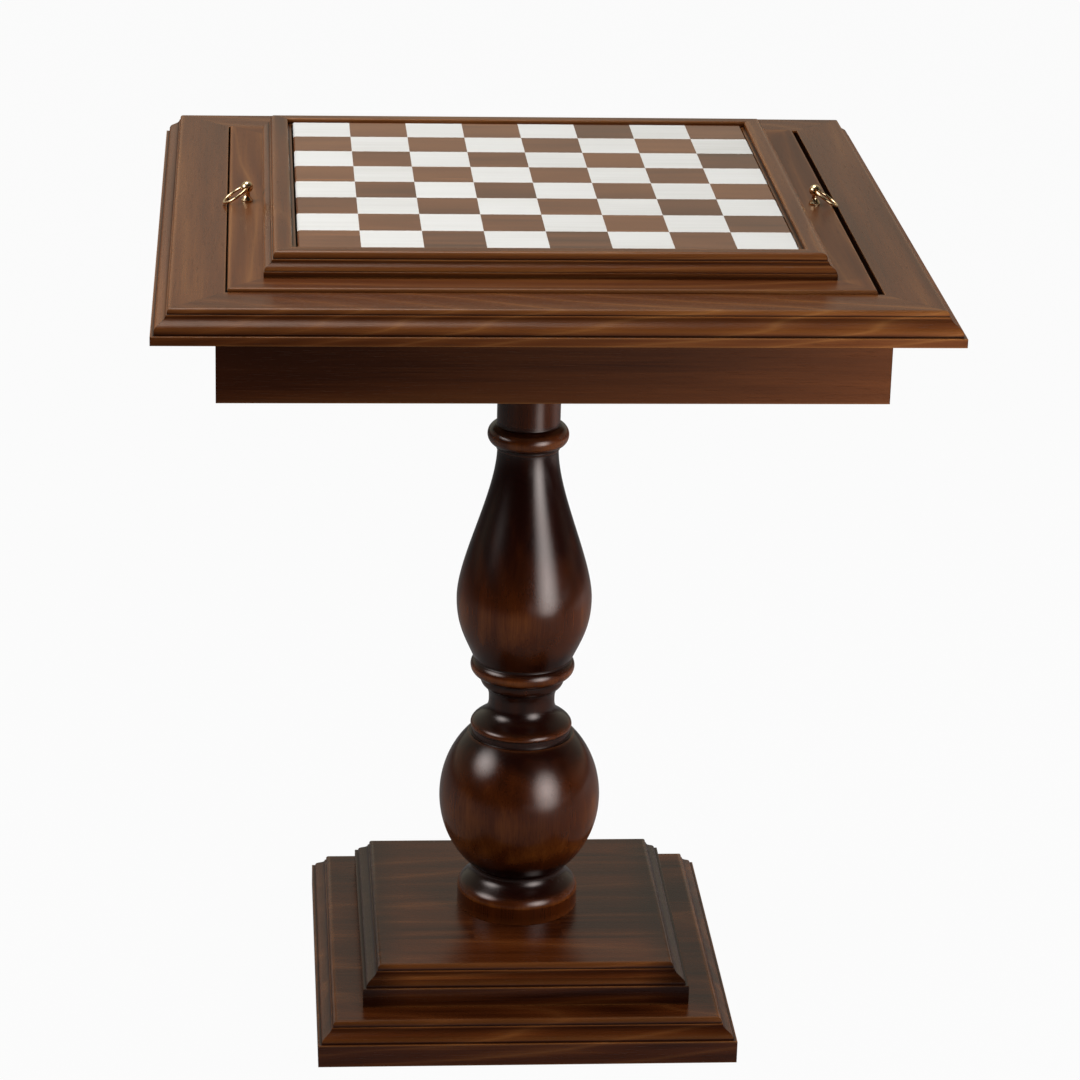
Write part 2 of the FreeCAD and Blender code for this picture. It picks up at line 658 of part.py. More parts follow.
def ring_pulls():
    """Post and ring of each pull, with the ring lying outwards on the panel's edge."""
    nodes = {}
    slope = ring_rest_angle()
    for side, foot, outward in pull_places():
        nodes["ring_post_" + side] = moved(ring_post(), foot)
        lie = Vector(outward * cos(slope), 0, -sin(slope))
        square_to_ring = Vector(outward * sin(slope), 0, cos(slope))
        middle = foot + UP * PIVOT_HEIGHT + lie * RING_PULL_RADIUS
        ring = Part.makeTorus(RING_PULL_RADIUS, RING_WIRE_DIAMETER / 2, middle, square_to_ring)
        nodes["ring_" + side] = ring
    return nodes


def table():
    """Every node of the table by name, with the panel and what it carries drifted in its opening."""
    nodes = {**plinth(), **column(), **tie_rod(), **well(), **apron(), **top_rails()}
    lifted = {**panel(), **board_frame(), **board(), **ring_pulls()}
    nodes.update({name: moved(shape, panel_drift) for name, shape in lifted.items()})
    return nodes


os.makedirs("parts", exist_ok=True)
for node, solid in table().items():
    solid.exportStep(os.path.join("parts", node + ".step"))
height = panel_top + edge_height(BOARD_EDGE)
print("table", round(2 * top_half, 1), "wide and", round(height, 1), "high")
print("rings lie", round(degrees(ring_rest_angle()), 2), "degrees below level")
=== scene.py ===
# %% [markdown]
# # A pedestal chess table
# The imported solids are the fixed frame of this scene: they say where every piece is and what moves with
# what. This lesson dresses them. The squares of the board, the posts of the pulls and all that is hidden
# keep their own mesh and get a finish. The rails, the boards of the apron, the slabs of the plinth, the
# turned column and the pull rings are made again as smooth surfaces, because wood that has been sanded and
# lacquered has eased edges, and an eased edge is what catches the light.

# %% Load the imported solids
import json
import math
from collections import namedtuple

import bpy
import numpy as np
from mathutils import Matrix, Vector


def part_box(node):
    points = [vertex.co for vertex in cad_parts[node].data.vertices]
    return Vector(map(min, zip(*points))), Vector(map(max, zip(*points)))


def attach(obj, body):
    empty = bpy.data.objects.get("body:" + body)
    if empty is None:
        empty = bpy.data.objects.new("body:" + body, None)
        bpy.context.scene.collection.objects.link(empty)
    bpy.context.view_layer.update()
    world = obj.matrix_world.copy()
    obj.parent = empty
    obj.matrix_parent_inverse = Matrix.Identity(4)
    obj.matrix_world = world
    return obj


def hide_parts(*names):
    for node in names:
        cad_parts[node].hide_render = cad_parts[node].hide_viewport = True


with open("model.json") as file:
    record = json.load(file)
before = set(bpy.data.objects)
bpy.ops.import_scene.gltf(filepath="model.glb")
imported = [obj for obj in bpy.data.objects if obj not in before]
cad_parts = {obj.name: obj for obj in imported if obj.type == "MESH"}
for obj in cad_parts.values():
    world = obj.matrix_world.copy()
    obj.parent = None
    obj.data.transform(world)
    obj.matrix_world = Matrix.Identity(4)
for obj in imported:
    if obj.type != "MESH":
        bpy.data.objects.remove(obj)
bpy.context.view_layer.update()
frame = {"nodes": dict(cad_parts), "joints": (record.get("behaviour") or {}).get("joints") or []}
nodes = frame["nodes"]
scene = bpy.context.scene

# %% [markdown]
# ## Shader maths
# A finish is a node tree, and most of it is arithmetic on patterns. Wiring every Math node by hand hides
# the idea, so one small class stands for an output socket. Sums and products of such wires add the Math
# nodes themselves, and a single method adds any other node.


# %% Wires between nodes
def set_stops(ramp, stops):
    """Gives a colour ramp its stops, each a place from 0 to 1 and a colour."""
    while len(ramp.elements) < len(stops):
        ramp.elements.new(1.0)
    for element, (place, colour) in zip(ramp.elements, stops):
        element.position = place
        element.color = (*colour, 1.0)


class Wire:
    """An output socket of a finish. Arithmetic on wires and numbers adds Math nodes."""

    def __init__(self, tree, socket):
        self.tree = tree
        self.socket = socket

    def node(self, kind, settings, sockets, output=0):
        """Adds a node: its settings first, then a value or a wire for each named or numbered socket."""
        made = self.tree.nodes.new("ShaderNode" + kind)
        for name, value in settings.items():
            if name == "stops":
                set_stops(made.color_ramp, value)
            else:
                setattr(made, name, value)
        for key, value in sockets.items():
            if isinstance(value, Wire):
                self.tree.links.new(value.socket, made.inputs[key])
            else:
                made.inputs[key].default_value = value
        return Wire(self.tree, made.outputs[output] if made.outputs else None)

    def __add__(self, other):
        return self.node("Math", {"operation": "ADD"}, {0: self, 1: other})

    def __sub__(self, other):
        return self.node("Math", {"operation": "SUBTRACT"}, {0: self, 1: other})

    def __rsub__(self, other):
        return self.node("Math", {"operation": "SUBTRACT"}, {0: other, 1: self})

    def __mul__(self, other):
        return self.node("Math", {"operation": "MULTIPLY"}, {0: self, 1: other})

    def __truediv__(self, other):
        return self.node("Math", {"operation": "DIVIDE"}, {0: self, 1: other})

    def __pow__(self, other):
        return self.node("Math", {"operation": "POWER"}, {0: self, 1: other})

    __radd__ = __add__
    __rmul__ = __mul__


print("wires ready")

# %% [markdown]
# ## Tools for finishes
# A few steps come back in most finishes: holding a value between 0 and 1, mixing two colours, picking a
# value by chance for each cell of a grid, and opening and closing the node tree. Colours go through a Mix
# node, because a Math node would turn them grey.


# %% Tools for finishes
def clip(value):
    """A wire's value held between 0 and 1."""
    return value.node("Clamp", {}, {0: value})


def blend(share, low, high):
    """One colour where the share is 0, another where it is 1."""
    return share.node("Mix", {"data_type": "RGBA"}, {0: share, 6: low, 7: high}, output=2)


def cell_of(spot):
    """The number of the cell that a spot lies in, on each axis."""
    return spot.node("VectorMath", {"operation": "FLOOR"}, {0: spot})


def by_chance(cell, output):
    """A Value or a Color picked by chance for each cell."""
    return cell.node("TexWhiteNoise", {"noise_dimensions": "3D"}, {"Vector": cell}, output=output)


def start_finish(name):
    """A new material with an empty tree, and the wire of its object coordinates."""
    material = bpy.data.materials.new(name)
    material.use_nodes = True
    tree = material.node_tree
    tree.nodes.clear()
    return material, Wire(tree, tree.nodes.new("ShaderNodeTexCoord").outputs["Object"])


def end_finish(place, sockets):
    """Closes a finish with one surface shader that takes these sockets."""
    shader = place.node("BsdfPrincipled", {}, sockets)
    place.node("OutputMaterial", {}, {"Surface": shader})


print("tools for finishes ready")

# %% [markdown]
# ## Walnut-stained wood
# The table is a close-grained hardwood under a brown stain and a satin lacquer. Real wood is a solid
# pattern, so the finish is worked out in object coordinates and the end grain of a slab comes out by
# itself. Five patterns make it: slow changes of tone along a board, narrow bands, growth rings about a
# heart that mostly lies outside the board, fine fibres, and short dark pores. Hollows are darkened, partly
# as stain that gathers there and partly as painted shade. Arrises are lightened, partly as stain worn
# thin and partly as painted highlight. Each wooden surface made below carries a value called ridge for
# that, above zero on an arris and below zero in a hollow.


# %% Patterns drawn out along the grain
def coordinate(place, axis):
    """How far along X, Y or Z a place lies."""
    return place.node("SeparateXYZ", {}, {0: place}, output=axis)


def carried(place, label):
    """A value that a surface carries at its points, or 0 where it carries none."""
    return place.node("Attribute", {"attribute_name": label}, {}, output="Fac")


def drawn_out(place, along, seed, across_cells, along_cells, detail=3.0):
    """Noise with this many cells a metre across the grain and along it."""
    scale = [across_cells] * 3
    scale["XYZ".index(along)] = along_cells
    shift = [seed * 7.31, seed * 3.77, seed * 5.13]
    spot = place.node("Mapping", {}, {"Vector": place, "Scale": scale, "Location": shift})
    return spot.node("TexNoise", {}, {"Vector": spot, "Scale": 1.0, "Detail": detail, "Roughness": 0.55})


PORE_LEVEL = 0.6
PORE_STEEPNESS = 7.0


def pores_in(place, along, seed, across_cells, along_cells):
    """Short dark pores: only the peaks of fine noise, with steep sides."""
    fine_noise = drawn_out(place, along, seed, across_cells, along_cells, detail=2.0)
    return clip((fine_noise - PORE_LEVEL) * PORE_STEEPNESS)


def growth_rings(place, along, seed, heart, spacing, sway, slope):
    """Distance from the heart, pushed about by slow noise and wrapped at each ring: 0 in early wood, 1 in
    late wood. Lengths along the grain count by the slope, so a small slope draws the rings out."""
    scale = [1.0] * 3
    scale["XYZ".index(along)] = slope
    away = [-value for value in heart]
    spot = place.node("Mapping", {}, {"Vector": place, "Scale": scale, "Location": away})
    distance = spot.node("VectorMath", {"operation": "LENGTH"}, {0: spot}, output="Value")
    wander = drawn_out(place, along, seed + 0.5, 9.0, 1.6, detail=2.0) - 0.5
    turn = (distance + wander * sway) * (2 * math.pi / spacing)
    return turn.node("Math", {"operation": "SINE"}, {0: turn}) * 0.5 + 0.5


def glued_strips(place, width, length):
    """Place in the tree that each strip of a slab was cut from, and a tone for each strip. Rows of strips lie
    side by side, and each row is pushed along by chance so that the ends don't line up."""
    strip = place.node("Mapping", {}, {"Vector": place, "Scale": [1 / length, 1 / width, 0.0],
                                       "Location": [0.12, 0.41, 0.0]})
    row = cell_of(strip.node("VectorMath", {"operation": "MULTIPLY"}, {0: strip, 1: [0.0, 1.0, 0.0]}))
    push = row.node("VectorMath", {"operation": "MULTIPLY"}, {0: by_chance(row, "Color"), 1: [3.0, 0.0, 0.0]})
    number = cell_of(strip.node("VectorMath", {"operation": "ADD"}, {0: strip, 1: push}))
    origin = place.node("VectorMath", {"operation": "ADD"}, {0: place, 1: by_chance(number, "Color")})
    return origin, by_chance(number, "Value")


print("patterns: noise, pores, growth rings and strips")

# %% [markdown]
# ## Stain and lacquer
# The patterns add up to one figure, and the figure picks a tone of the stain, from deep to pale. The
# column's sprayed stain and painted shade, and a painted change of light from left to right, shift the
# figure too. Over it come the late wood of the rings, the pores, the glaze and painted shade in hollows,
# the thin stain and painted highlight on rubbed arrises, the soaked ends of the grain and the dark line of
# each joint. Each is a blend of two colours by a mask, so each can be judged by itself. Fibres and pores
# also change the gloss and raise a slight bump, because lacquer sinks into them.

# %% Stained wood
# The glaze colour also paints shade in hollows, and the worn colour also paints highlights on arrises.
Stain = namedtuple("Stain", "deep middle pale glaze worn")
SLOW_SHARE = 0.55
BAND_SHARE = 0.4
RING_SHARE = 0.12
FIBRE_SHARE = 0.3
MEAN_FIGURE = (SLOW_SHARE + BAND_SHARE + RING_SHARE + FIBRE_SHARE) / 2
STRIP_SHARE = 0.16


def stained_wood(name, stain, along="X", seed=1.0, heart=(0.0, 0.03, -0.09), spacing=0.006, sway=0.03,
                 slope=0.04, rough=0.25, tone=0.0, contrast=1.0, lines=1.0, relief=0.22, staves=None,
                 end_grain=None, specular=0.25, sheen=(1.0, 0.9, 0.76), painted_light_drift=0.0):
    """Stained and lacquered wood. Lines is how clearly its late wood shows, and the drift is painted light: a
    change of tone in a metre to the right, as the lamps light one side more than the other. Staves are the
    width and length of the strips that a slab is glued up from, and end_grain is the distance from the
    middle at which the ends of the grain begin to drink the stain."""
    material, place = start_finish(name)
    grain_place = place
    if staves:
        grain_place, strip_tone = glued_strips(place, *staves)
    slow = drawn_out(place, along, seed, 11.0, 2.2, detail=2.0)
    bands = drawn_out(grain_place, along, seed + 1.0, 110.0, 3.5)
    fibre = drawn_out(grain_place, along, seed + 2.0, 750.0, 14.0, detail=4.0)
    pores = pores_in(grain_place, along, seed + 3.0, 1400.0, 55.0)
    rings = growth_rings(grain_place, along, seed, heart, spacing, sway, slope)
    # The column's value of sprayed stain and painted shade is read here.
    burst, ridge, joint = [carried(place, label) for label in ("burst", "ridge", "joint")]
    sideways = coordinate(place, "X")
    figure = slow * SLOW_SHARE + bands * BAND_SHARE + rings * RING_SHARE + fibre * FIBRE_SHARE - MEAN_FIGURE
    if staves:
        figure = figure + strip_tone * STRIP_SHARE - STRIP_SHARE / 2
    # The drift term is painted light: the figure grows lighter or darker to the right.
    figure = figure * contrast + burst * 0.5 + sideways * painted_light_drift + (0.5 + tone)
    stops = [(0.18, stain.deep), (0.5, stain.middle), (0.85, stain.pale)]
    colour = figure.node("ValToRGB", {"stops": stops}, {"Fac": figure})
    late_wood = rings ** 24.0 * clip(slow - 0.35) * (contrast * lines)
    colour = blend(late_wood, colour, (*stain.worn, 1.0))
    colour = blend(pores * 0.55, colour, (*stain.deep, 1.0))
    # Glaze and painted shade: hollows take the glaze colour.
    hollow = clip(0.0 - ridge) * 0.9
    colour = blend(hollow, colour, (*stain.glaze, 1.0))
    # Wear and painted highlight: arrises take the worn colour.
    rubbed_and_highlit = clip(ridge) * clip(slow * 0.9 + 0.35) * 0.4
    colour = blend(rubbed_and_highlit, colour, (*stain.worn, 1.0))
    if end_grain:
        past_end = sideways.node("Math", {"operation": "ABSOLUTE"}, {0: sideways}) - end_grain
        soaked = clip((past_end + bands * 0.05 - 0.025) / 0.03) * 0.8
        colour = blend(soaked, colour, (*stain.glaze, 1.0))
    colour = blend(joint * 0.75, colour, (*stain.glaze, 1.0))
    roughness = fibre * (0.5 * relief) + pores * (0.4 * relief) + hollow * 0.12 + (rough - 0.25 * relief)
    height = fibre * 0.5 + pores * -0.8 + bands * 0.25
    bump = height.node("Bump", {}, {"Strength": relief, "Distance": 0.00025, "Height": height})
    end_finish(place, {"Base Color": colour, "Roughness": roughness, "Normal": bump,
                       "Specular IOR Level": specular, "Specular Tint": (*sheen, 1.0)})
    return material


walnut = Stain(deep=(0.03, 0.0062, 0.0016), middle=(0.1, 0.0275, 0.0068), pale=(0.2, 0.07, 0.018),
               glaze=(0.01, 0.0026, 0.0012), worn=(0.32, 0.135, 0.04))
print("stain mixed:", walnut._fields)

# %% [markdown]
# ## Outlines
# A moulding is a cutter's outline carried along a rail, and a turned column is an outline carried round an
# axis. So the outlines come first, in metres, as runs of points. Three curves are enough for all of them: a
# cubic for what bends both ways, an arc about a centre, and an arc through three points.

# %% Curves
MM = 0.001


def bezier(start, first, second, end, count=48):
    """Cubic curve: (1-t)^3 start + 3t(1-t)^2 first + 3t^2(1-t) second + t^3 end."""
    t = np.linspace(0, 1, count)[:, None]
    poles = [np.array(pole, float) for pole in (start, first, second, end)]
    weights = ((1 - t) ** 3, 3 * t * (1 - t) ** 2, 3 * t ** 2 * (1 - t), t ** 3)
    return sum(weight * pole for weight, pole in zip(weights, poles))


def arc(centre, radius, first, last, count=24):
    """Circle: centre + radius (cos a, sin a), from the first angle to the last, in degrees."""
    turn = np.radians(np.linspace(first, last, count))
    return np.array(centre) + radius * np.stack([np.cos(turn), np.sin(turn)], 1)


def bulge(start, through, end, count=32):
    """Circular arc through three points, from the angles of each about their common centre."""
    (ax, ay), (bx, by), (cx, cy) = start, through, end
    twice = 2 * (ax * (by - cy) + bx * (cy - ay) + cx * (ay - by))
    a2, b2, c2 = ax * ax + ay * ay, bx * bx + by * by, cx * cx + cy * cy
    centre = np.array([a2 * (by - cy) + b2 * (cy - ay) + c2 * (ay - by),
                       a2 * (cx - bx) + b2 * (ax - cx) + c2 * (bx - ax)]) / twice
    angles = [math.atan2(point[1] - centre[1], point[0] - centre[0]) for point in (start, through, end)]
    first, middle, last = np.unwrap(angles)
    turn = np.interp(np.linspace(0, 2, count), [0, 1, 2], [first, middle, last])
    radius = math.hypot(ax - centre[0], ay - centre[1])
    return centre + radius * np.stack([np.cos(turn), np.sin(turn)], 1)


print("curves: bezier, arc and bulge")

# %% [markdown]
# ## Easing
# Sandpaper takes every arris off by the same small amount. A bevel would do that with one flat for each
# arris. Here the run first gets points at even steps, and then each point becomes a weighted mean of its
# neighbours, which leaves flats and long curves alone and rounds the arrises. The same mean taken over a
# wider stretch tells ridge from hollow.

# %% Eased runs
STEP = 0.3 * MM
EASE = 0.28 * MM
NARROW = 1.0 * MM
BROAD = 2.2 * MM
ARRIS_DEPTH = 0.3 * MM
QUIRK_DEPTH = 0.13 * MM
HOLLOW_DEPTH = 0.5 * MM
KEEP_LENGTH = 8 * MM
KEEP_TURN = math.radians(3.5)


def even_run(points):
    """The closed run again with points at equal steps of its length."""
    loop = np.vstack([points, points[:1]])
    gaps = np.hypot(*np.diff(loop, axis=0).T)
    length = np.concatenate([[0], np.cumsum(gaps)])
    places = np.linspace(0, length[-1], int(length[-1] / STEP), endpoint=False)
    return np.stack([np.interp(places, length, loop[:, axis]) for axis in (0, 1)], 1)


def mean_run(run, spread):
    """Each point of a closed run as a mean of its neighbours, weighted by exp(-(distance / spread)^2 / 2)."""
    reach = int(3 * spread / STEP) + 1
    weights = np.exp(-0.5 * (np.arange(-reach, reach + 1) * STEP / spread) ** 2)
    padded = np.vstack([run[-reach:], run, run[:reach]])
    return np.stack([np.convolve(padded[:, axis], weights / weights.sum(), "valid") for axis in (0, 1)], 1)


def outward_of(run):
    """Unit vectors that point out of a closed clockwise run, square to it."""
    along = np.roll(run, -1, 0) - np.roll(run, 1, 0)
    return np.stack([-along[:, 1], along[:, 0]], 1) / np.hypot(*along.T)[:, None]


def stands_out(run, spread):
    """How far each point of a clockwise run stands out from the mean of its neighbourhood."""
    return ((run - mean_run(run, spread)) * outward_of(run)).sum(1)


def eased(points):
    """A closed clockwise outline with its arrises rounded, and its ridge value: up to 1 on arrises and down
    to -1 in quirks, which are judged close up, and in hollows, which are judged over a wider stretch."""
    run = mean_run(even_run(np.vstack(points)), EASE)
    sharp = stands_out(run, NARROW)
    arris = np.clip(sharp / ARRIS_DEPTH, 0, 1)
    hollow = np.clip(np.maximum(-sharp / QUIRK_DEPTH, -stands_out(run, BROAD) / HOLLOW_DEPTH), 0, 1)
    return run, arris - hollow


def thinned(run):
    """Numbers of the points worth keeping: one for each short length of the run or small turn of its
    heading."""
    step = np.roll(run, -1, 0) - run
    heading = np.arctan2(step[:, 1], step[:, 0])
    turn = np.abs((heading - np.roll(heading, 1) + math.pi) % (2 * math.pi) - math.pi)
    measure = np.cumsum(np.hypot(*step.T) / KEEP_LENGTH + turn / KEEP_TURN)
    return np.flatnonzero(np.diff(np.floor(measure), prepend=-1))


print("outline step", STEP, "m")

# %% [markdown]
# ## Pieces
# Every surface below is a grid: outline points by places along a path. So one function gives the quads of
# any grid, and another puts points and quads into a mesh, stores the values that the points carry, hides
# the solid that the piece stands for and hangs the piece on what it moves with.

# %% Grids of points as pieces
SHARP_EDGE = math.radians(38)
pieces = []


def add_object(name, data):
    """A new object in the scene."""
    made = bpy.data.objects.new(name, data)
    scene.collection.objects.link(made)
    return made


def make_piece(name, points, faces, values, material, body, stands_for):
    """A mesh piece in its place, with its values stored as point attributes."""
    mesh = bpy.data.meshes.new(name)
    mesh.from_pydata(points.tolist(), [], faces)
    for label, value in values.items():
        mesh.attributes.new(label, "FLOAT", "POINT").data.foreach_set("value", value.astype(np.float32))
    mesh.polygons.foreach_set("use_smooth", np.ones(len(mesh.polygons), bool))
    mesh.set_sharp_from_angle(angle=SHARP_EDGE)
    mesh.materials.append(material)
    piece = add_object(name, mesh)
    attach(piece, body)
    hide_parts(*stands_for)
    pieces.append(piece)
    return piece


def grid_faces(rows, columns, rows_closed=False, columns_closed=False):
    """Quads of a grid whose points are numbered row by row."""
    row = np.arange(rows if rows_closed else rows - 1)[:, None]
    column = np.arange(columns if columns_closed else columns - 1)[None, :]
    next_row, next_column = (row + 1) % rows, (column + 1) % columns
    corners = [row * columns + column, row * columns + next_column, next_row * columns + next_column,
               next_row * columns + column]
    return np.stack(corners, -1).reshape(-1, 4).tolist()


print("pieces ready")

# %% [markdown]
# ## Rails, slabs and turnings
# A rail runs along one side of a square frame and is mitred at both ends. With the outline given as the
# distance in from the frame's face and the height, the mitre needs no cutting: at a distance d inside the
# face the rail is simply d shorter at each end. A slab carries the outline round all four sides in the same
# way. A turned piece carries it round a circle.

# %% Rails, slabs and turnings
SIDES = ("front", "right", "back", "left")
JOINT_LINE = np.array([0.0, 0.25, 0.7]) * MM
JOINT_STAIN = np.array([1.0, 0.4, 0.0])


def rail(name, outline, half, side, centre, material, body):
    """Mitred rail: x = t (half - across), y = across - half, z = up, turned to its side of the frame."""
    run, ridge = outline
    across, up = run[:, 0], run[:, 1]
    reach = (half - across)[:, None]
    along = np.concatenate([JOINT_LINE - reach, (reach - JOINT_LINE)[:, ::-1]], 1)
    columns = along.shape[1]
    y = np.repeat((across - half)[:, None], columns, 1)
    turn = math.radians(90 * SIDES.index(side))
    x_turned = along * math.cos(turn) - y * math.sin(turn) + centre[0]
    y_turned = along * math.sin(turn) + y * math.cos(turn) + centre[1]
    points = np.stack([x_turned, y_turned, np.repeat(up[:, None], columns, 1)], -1).reshape(-1, 3)
    rows = len(run)
    faces = grid_faces(rows, columns, rows_closed=True)
    faces.append((np.arange(rows) * columns).tolist())
    faces.append((np.arange(rows)[::-1] * columns + columns - 1).tolist())
    stain = np.concatenate([JOINT_STAIN, JOINT_STAIN[::-1]])
    values = {"ridge": np.repeat(ridge, columns), "joint": np.tile(stain, rows)}
    return make_piece(side + "_" + name, points, faces, values, material, body, [name + "_" + side])


def slab(name, outline, half, material, body):
    """Square slab: each outline point runs round a square of half width (half - across), at its height."""
    run, ridge = outline
    reach = half - run[:, 0]
    corners = np.array([(-1, -1), (1, -1), (1, 1), (-1, 1)])
    flat = reach[:, None, None] * corners[None]
    points = np.concatenate([flat, np.repeat(run[:, None, 1:], 4, 1)], 2).reshape(-1, 3)
    rows = len(run)
    faces = grid_faces(rows, 4, columns_closed=True)
    faces.append([4 * (rows - 1) + corner for corner in range(4)])
    faces.append([3, 2, 1, 0])
    values = {"ridge": np.repeat(ridge, 4)}
    return make_piece(name + "_slab", points, faces, values, material, body, [name])


def turning(name, run, run_values, material, body, segments=160):
    """Turned piece: (r cos a, r sin a, z) for every outline point (r, z) and angle a."""
    angle = np.linspace(0, 2 * math.pi, segments, endpoint=False)
    radius = run[:, 0][:, None]
    height = np.repeat(run[:, 1:], segments, 1)
    points = np.stack([radius * np.cos(angle), radius * np.sin(angle), height], -1)
    faces = grid_faces(len(run), segments, rows_closed=True, columns_closed=True)
    values = {label: np.repeat(value, segments) for label, value in run_values.items()}
    return make_piece("turned_" + name, points.reshape(-1, 3), faces, values, material, body, [name])


print("surfaces: rail, slab, turning")

# %% [markdown]
# ## The moulded edge
# One cutter shape serves the whole table in different sizes: a plain face, a ledge, a short step, an ogee
# that is round below and hollow above, a fillet, a quirk and a quarter round into the flat. It is drawn
# upwards from the foot of the face, so the same function starts the outline of the top, the board's frame
# and both plinth slabs.

# %% Edge outline
Moulding = namedtuple("Moulding", "face ledge step ogee_run ogee_rise fillet quirk rounding")
TOP_EDGE = Moulding(7.6, 3.0, 3.0, 9.5, 11.2, 0.9, 1.5, 3.3)
BOARD_EDGE = Moulding(5.2, 0.6, 0.5, 6.2, 8.1, 1.0, 2.0, 4.2)
UPPER_PLINTH_EDGE = Moulding(18.2, 3.0, 1.0, 9.2, 10.5, 1.2, 1.6, 3.8)
LOWER_PLINTH_EDGE = Moulding(21.0, 3.0, 1.0, 9.2, 10.5, 1.2, 1.6, 3.8)
OGEE_FULLNESS = 0.45


def edge_outline(edge, base):
    """Points of a moulded edge from the foot of its face to the start of its flat."""
    edge = Moulding(*[size * MM for size in edge])
    low = base + edge.face + edge.step
    high = low + edge.ogee_rise
    across = edge.ledge + edge.ogee_run
    pull = edge.ogee_rise * OGEE_FULLNESS
    inner = across + edge.fillet
    top = high + edge.quirk
    corners = [(0, base), (0, base + edge.face), (edge.ledge, base + edge.face)]
    ogee = bezier((edge.ledge, low), (edge.ledge, low + pull), (across, high - pull), (across, high))
    return [corners, ogee, [(inner, high)], arc((inner + edge.rounding, top), edge.rounding, 180, 90)]


top_edge_rise = TOP_EDGE.face + TOP_EDGE.step + TOP_EDGE.ogee_rise + TOP_EDGE.quirk + TOP_EDGE.rounding
print("edge of the top stands", round(top_edge_rise, 1), "mm high")

# %% [markdown]
# ## Top frame
# Four mitred rails make the top, and a rebate inside the flat carries the loose panel. Grain runs along
# each rail, so neighbours meet at the mitre with their grain crossing, which is why the joint shows as a
# change of tone. The front and back rails are cut at a slope to the grain, so their growth rings cross the
# moulding as slanting streaks. The rails of the sides are cut straight. The rebate is always in shade, so
# it is set to the darkest as painted shade.

# %% Rails of the top
low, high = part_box("top_rail_front")
top_half = -low.y
top_width = 59 * MM
rebate = 16 * MM
rebate_floor = low.z + 8.6 * MM
rebate_corners = [(top_width, high.z), (top_width, rebate_floor), (top_width + rebate, rebate_floor),
                  (top_width + rebate, low.z)]
run, ridge = eased(edge_outline(TOP_EDGE, low.z) + [rebate_corners])
# Painted shade: the rebate takes the darkest colour.
in_rebate = (run[:, 0] > top_width - MM) & (run[:, 1] < high.z - 2 * MM)
top_outline = (run, np.where(in_rebate, -1.0, ridge))
ALONG = {"front": "X", "back": "X", "right": "Y", "left": "Y"}
Cut = namedtuple("Cut", "heart spacing slope lines tone")
TOP_CUT = {"front": Cut((0.3, -0.05, 0.2), 0.009, 0.22, 1.0, -0.02),
           "right": Cut((0, 0.03, -0.09), 0.016, 0.04, 0.5, 0.0),
           "back": Cut((-0.3, 0.05, 0.2), 0.009, 0.22, 1.0, 0.0),
           "left": Cut((0, 0.03, -0.09), 0.016, 0.04, 0.5, -0.01)}
for number, side in enumerate(SIDES):
    finish = stained_wood("walnut_top_" + side, walnut, ALONG[side], 1.3 + number, contrast=0.85,
                          **TOP_CUT[side]._asdict())
    rail("top_rail", top_outline, top_half, side, (0, 0), finish, "table")
print("top frame", round(2 * top_half, 4), "m wide,", len(top_outline[0]), "points in its outline")

# %% [markdown]
# ## Apron
# Four mitred boards stand under the top frame and hide the well. A groove near the foot of each board holds
# the floor of the well. The boards are flat, so their outline is a plain oblong with a notch, and their
# tone is set darker than the top's. It grows lighter to the right: painted light, where the lamps on the
# right light the boards more.

# %% Boards of the apron
low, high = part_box("apron_front")
floor_low, floor_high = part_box("well_floor")
apron_half = -low.y
apron_thickness = 20 * MM
groove = 12 * MM
apron_outline = eased([[(0, low.z), (0, high.z), (apron_thickness, high.z), (apron_thickness, floor_high.z),
                        (groove, floor_high.z), (groove, floor_low.z), (apron_thickness, floor_low.z),
                        (apron_thickness, low.z)]])
for number, side in enumerate(SIDES):
    # Painted light: the drift makes the boards lighter to the right.
    finish = stained_wood("walnut_apron_" + side, walnut, ALONG[side], 11.7 + number, heart=(0, 0.1, 0.55),
                          tone=-0.2, contrast=0.7, lines=0.25, spacing=0.02, painted_light_drift=0.5, specular=0.35)
    rail("apron", apron_outline, apron_half, side, (0, 0), finish, "table")
print("apron", round(high.z - low.z, 4), "m deep")

# %% [markdown]
# ## Lift-out panel
# The panel lies loose in the opening, a little to the left and front of its middle, so its own middle is
# read from its core. Its border rails have a rounded outer edge and a plain flat, and their lacquer is
# rubbed down to a satin.

# %% Border of the panel
core_low, core_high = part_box("panel_core")
panel_centre = ((core_low.x + core_high.x) / 2, (core_low.y + core_high.y) / 2)
low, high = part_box("panel_rail_front")
panel_half = panel_centre[1] - low.y
panel_round = 2.6 * MM
core_edge = panel_half - (core_high.x - core_low.x) / 2
rail_width = core_edge + 10 * MM
rounded_edge = arc((panel_round, high.z - panel_round), panel_round, 180, 90)
inner_corners = [(core_edge, high.z), (core_edge, core_low.z), (rail_width, core_low.z), (rail_width, low.z)]
panel_outline = eased([[(0, low.z)], rounded_edge, inner_corners])
for number, side in enumerate(SIDES):
    finish = stained_wood("walnut_panel_" + side, walnut, ALONG[side], 21.4 + number, tone=0.01 * number,
                          rough=0.34, relief=0.1)
    rail("panel_rail", panel_outline, panel_half, side, panel_centre, finish, "panel")
print("panel middle", [round(value, 4) for value in panel_centre])

# %% [markdown]
# ## Frame of the board
# The raised frame on the panel is cut with the same cutter in a smaller size. After a flat it steps down,
# rounded, to a ledge beside the board. Shade is painted at the foot of its face, where it meets the panel
# and the lamps above don't reach, so the ridge value falls there.

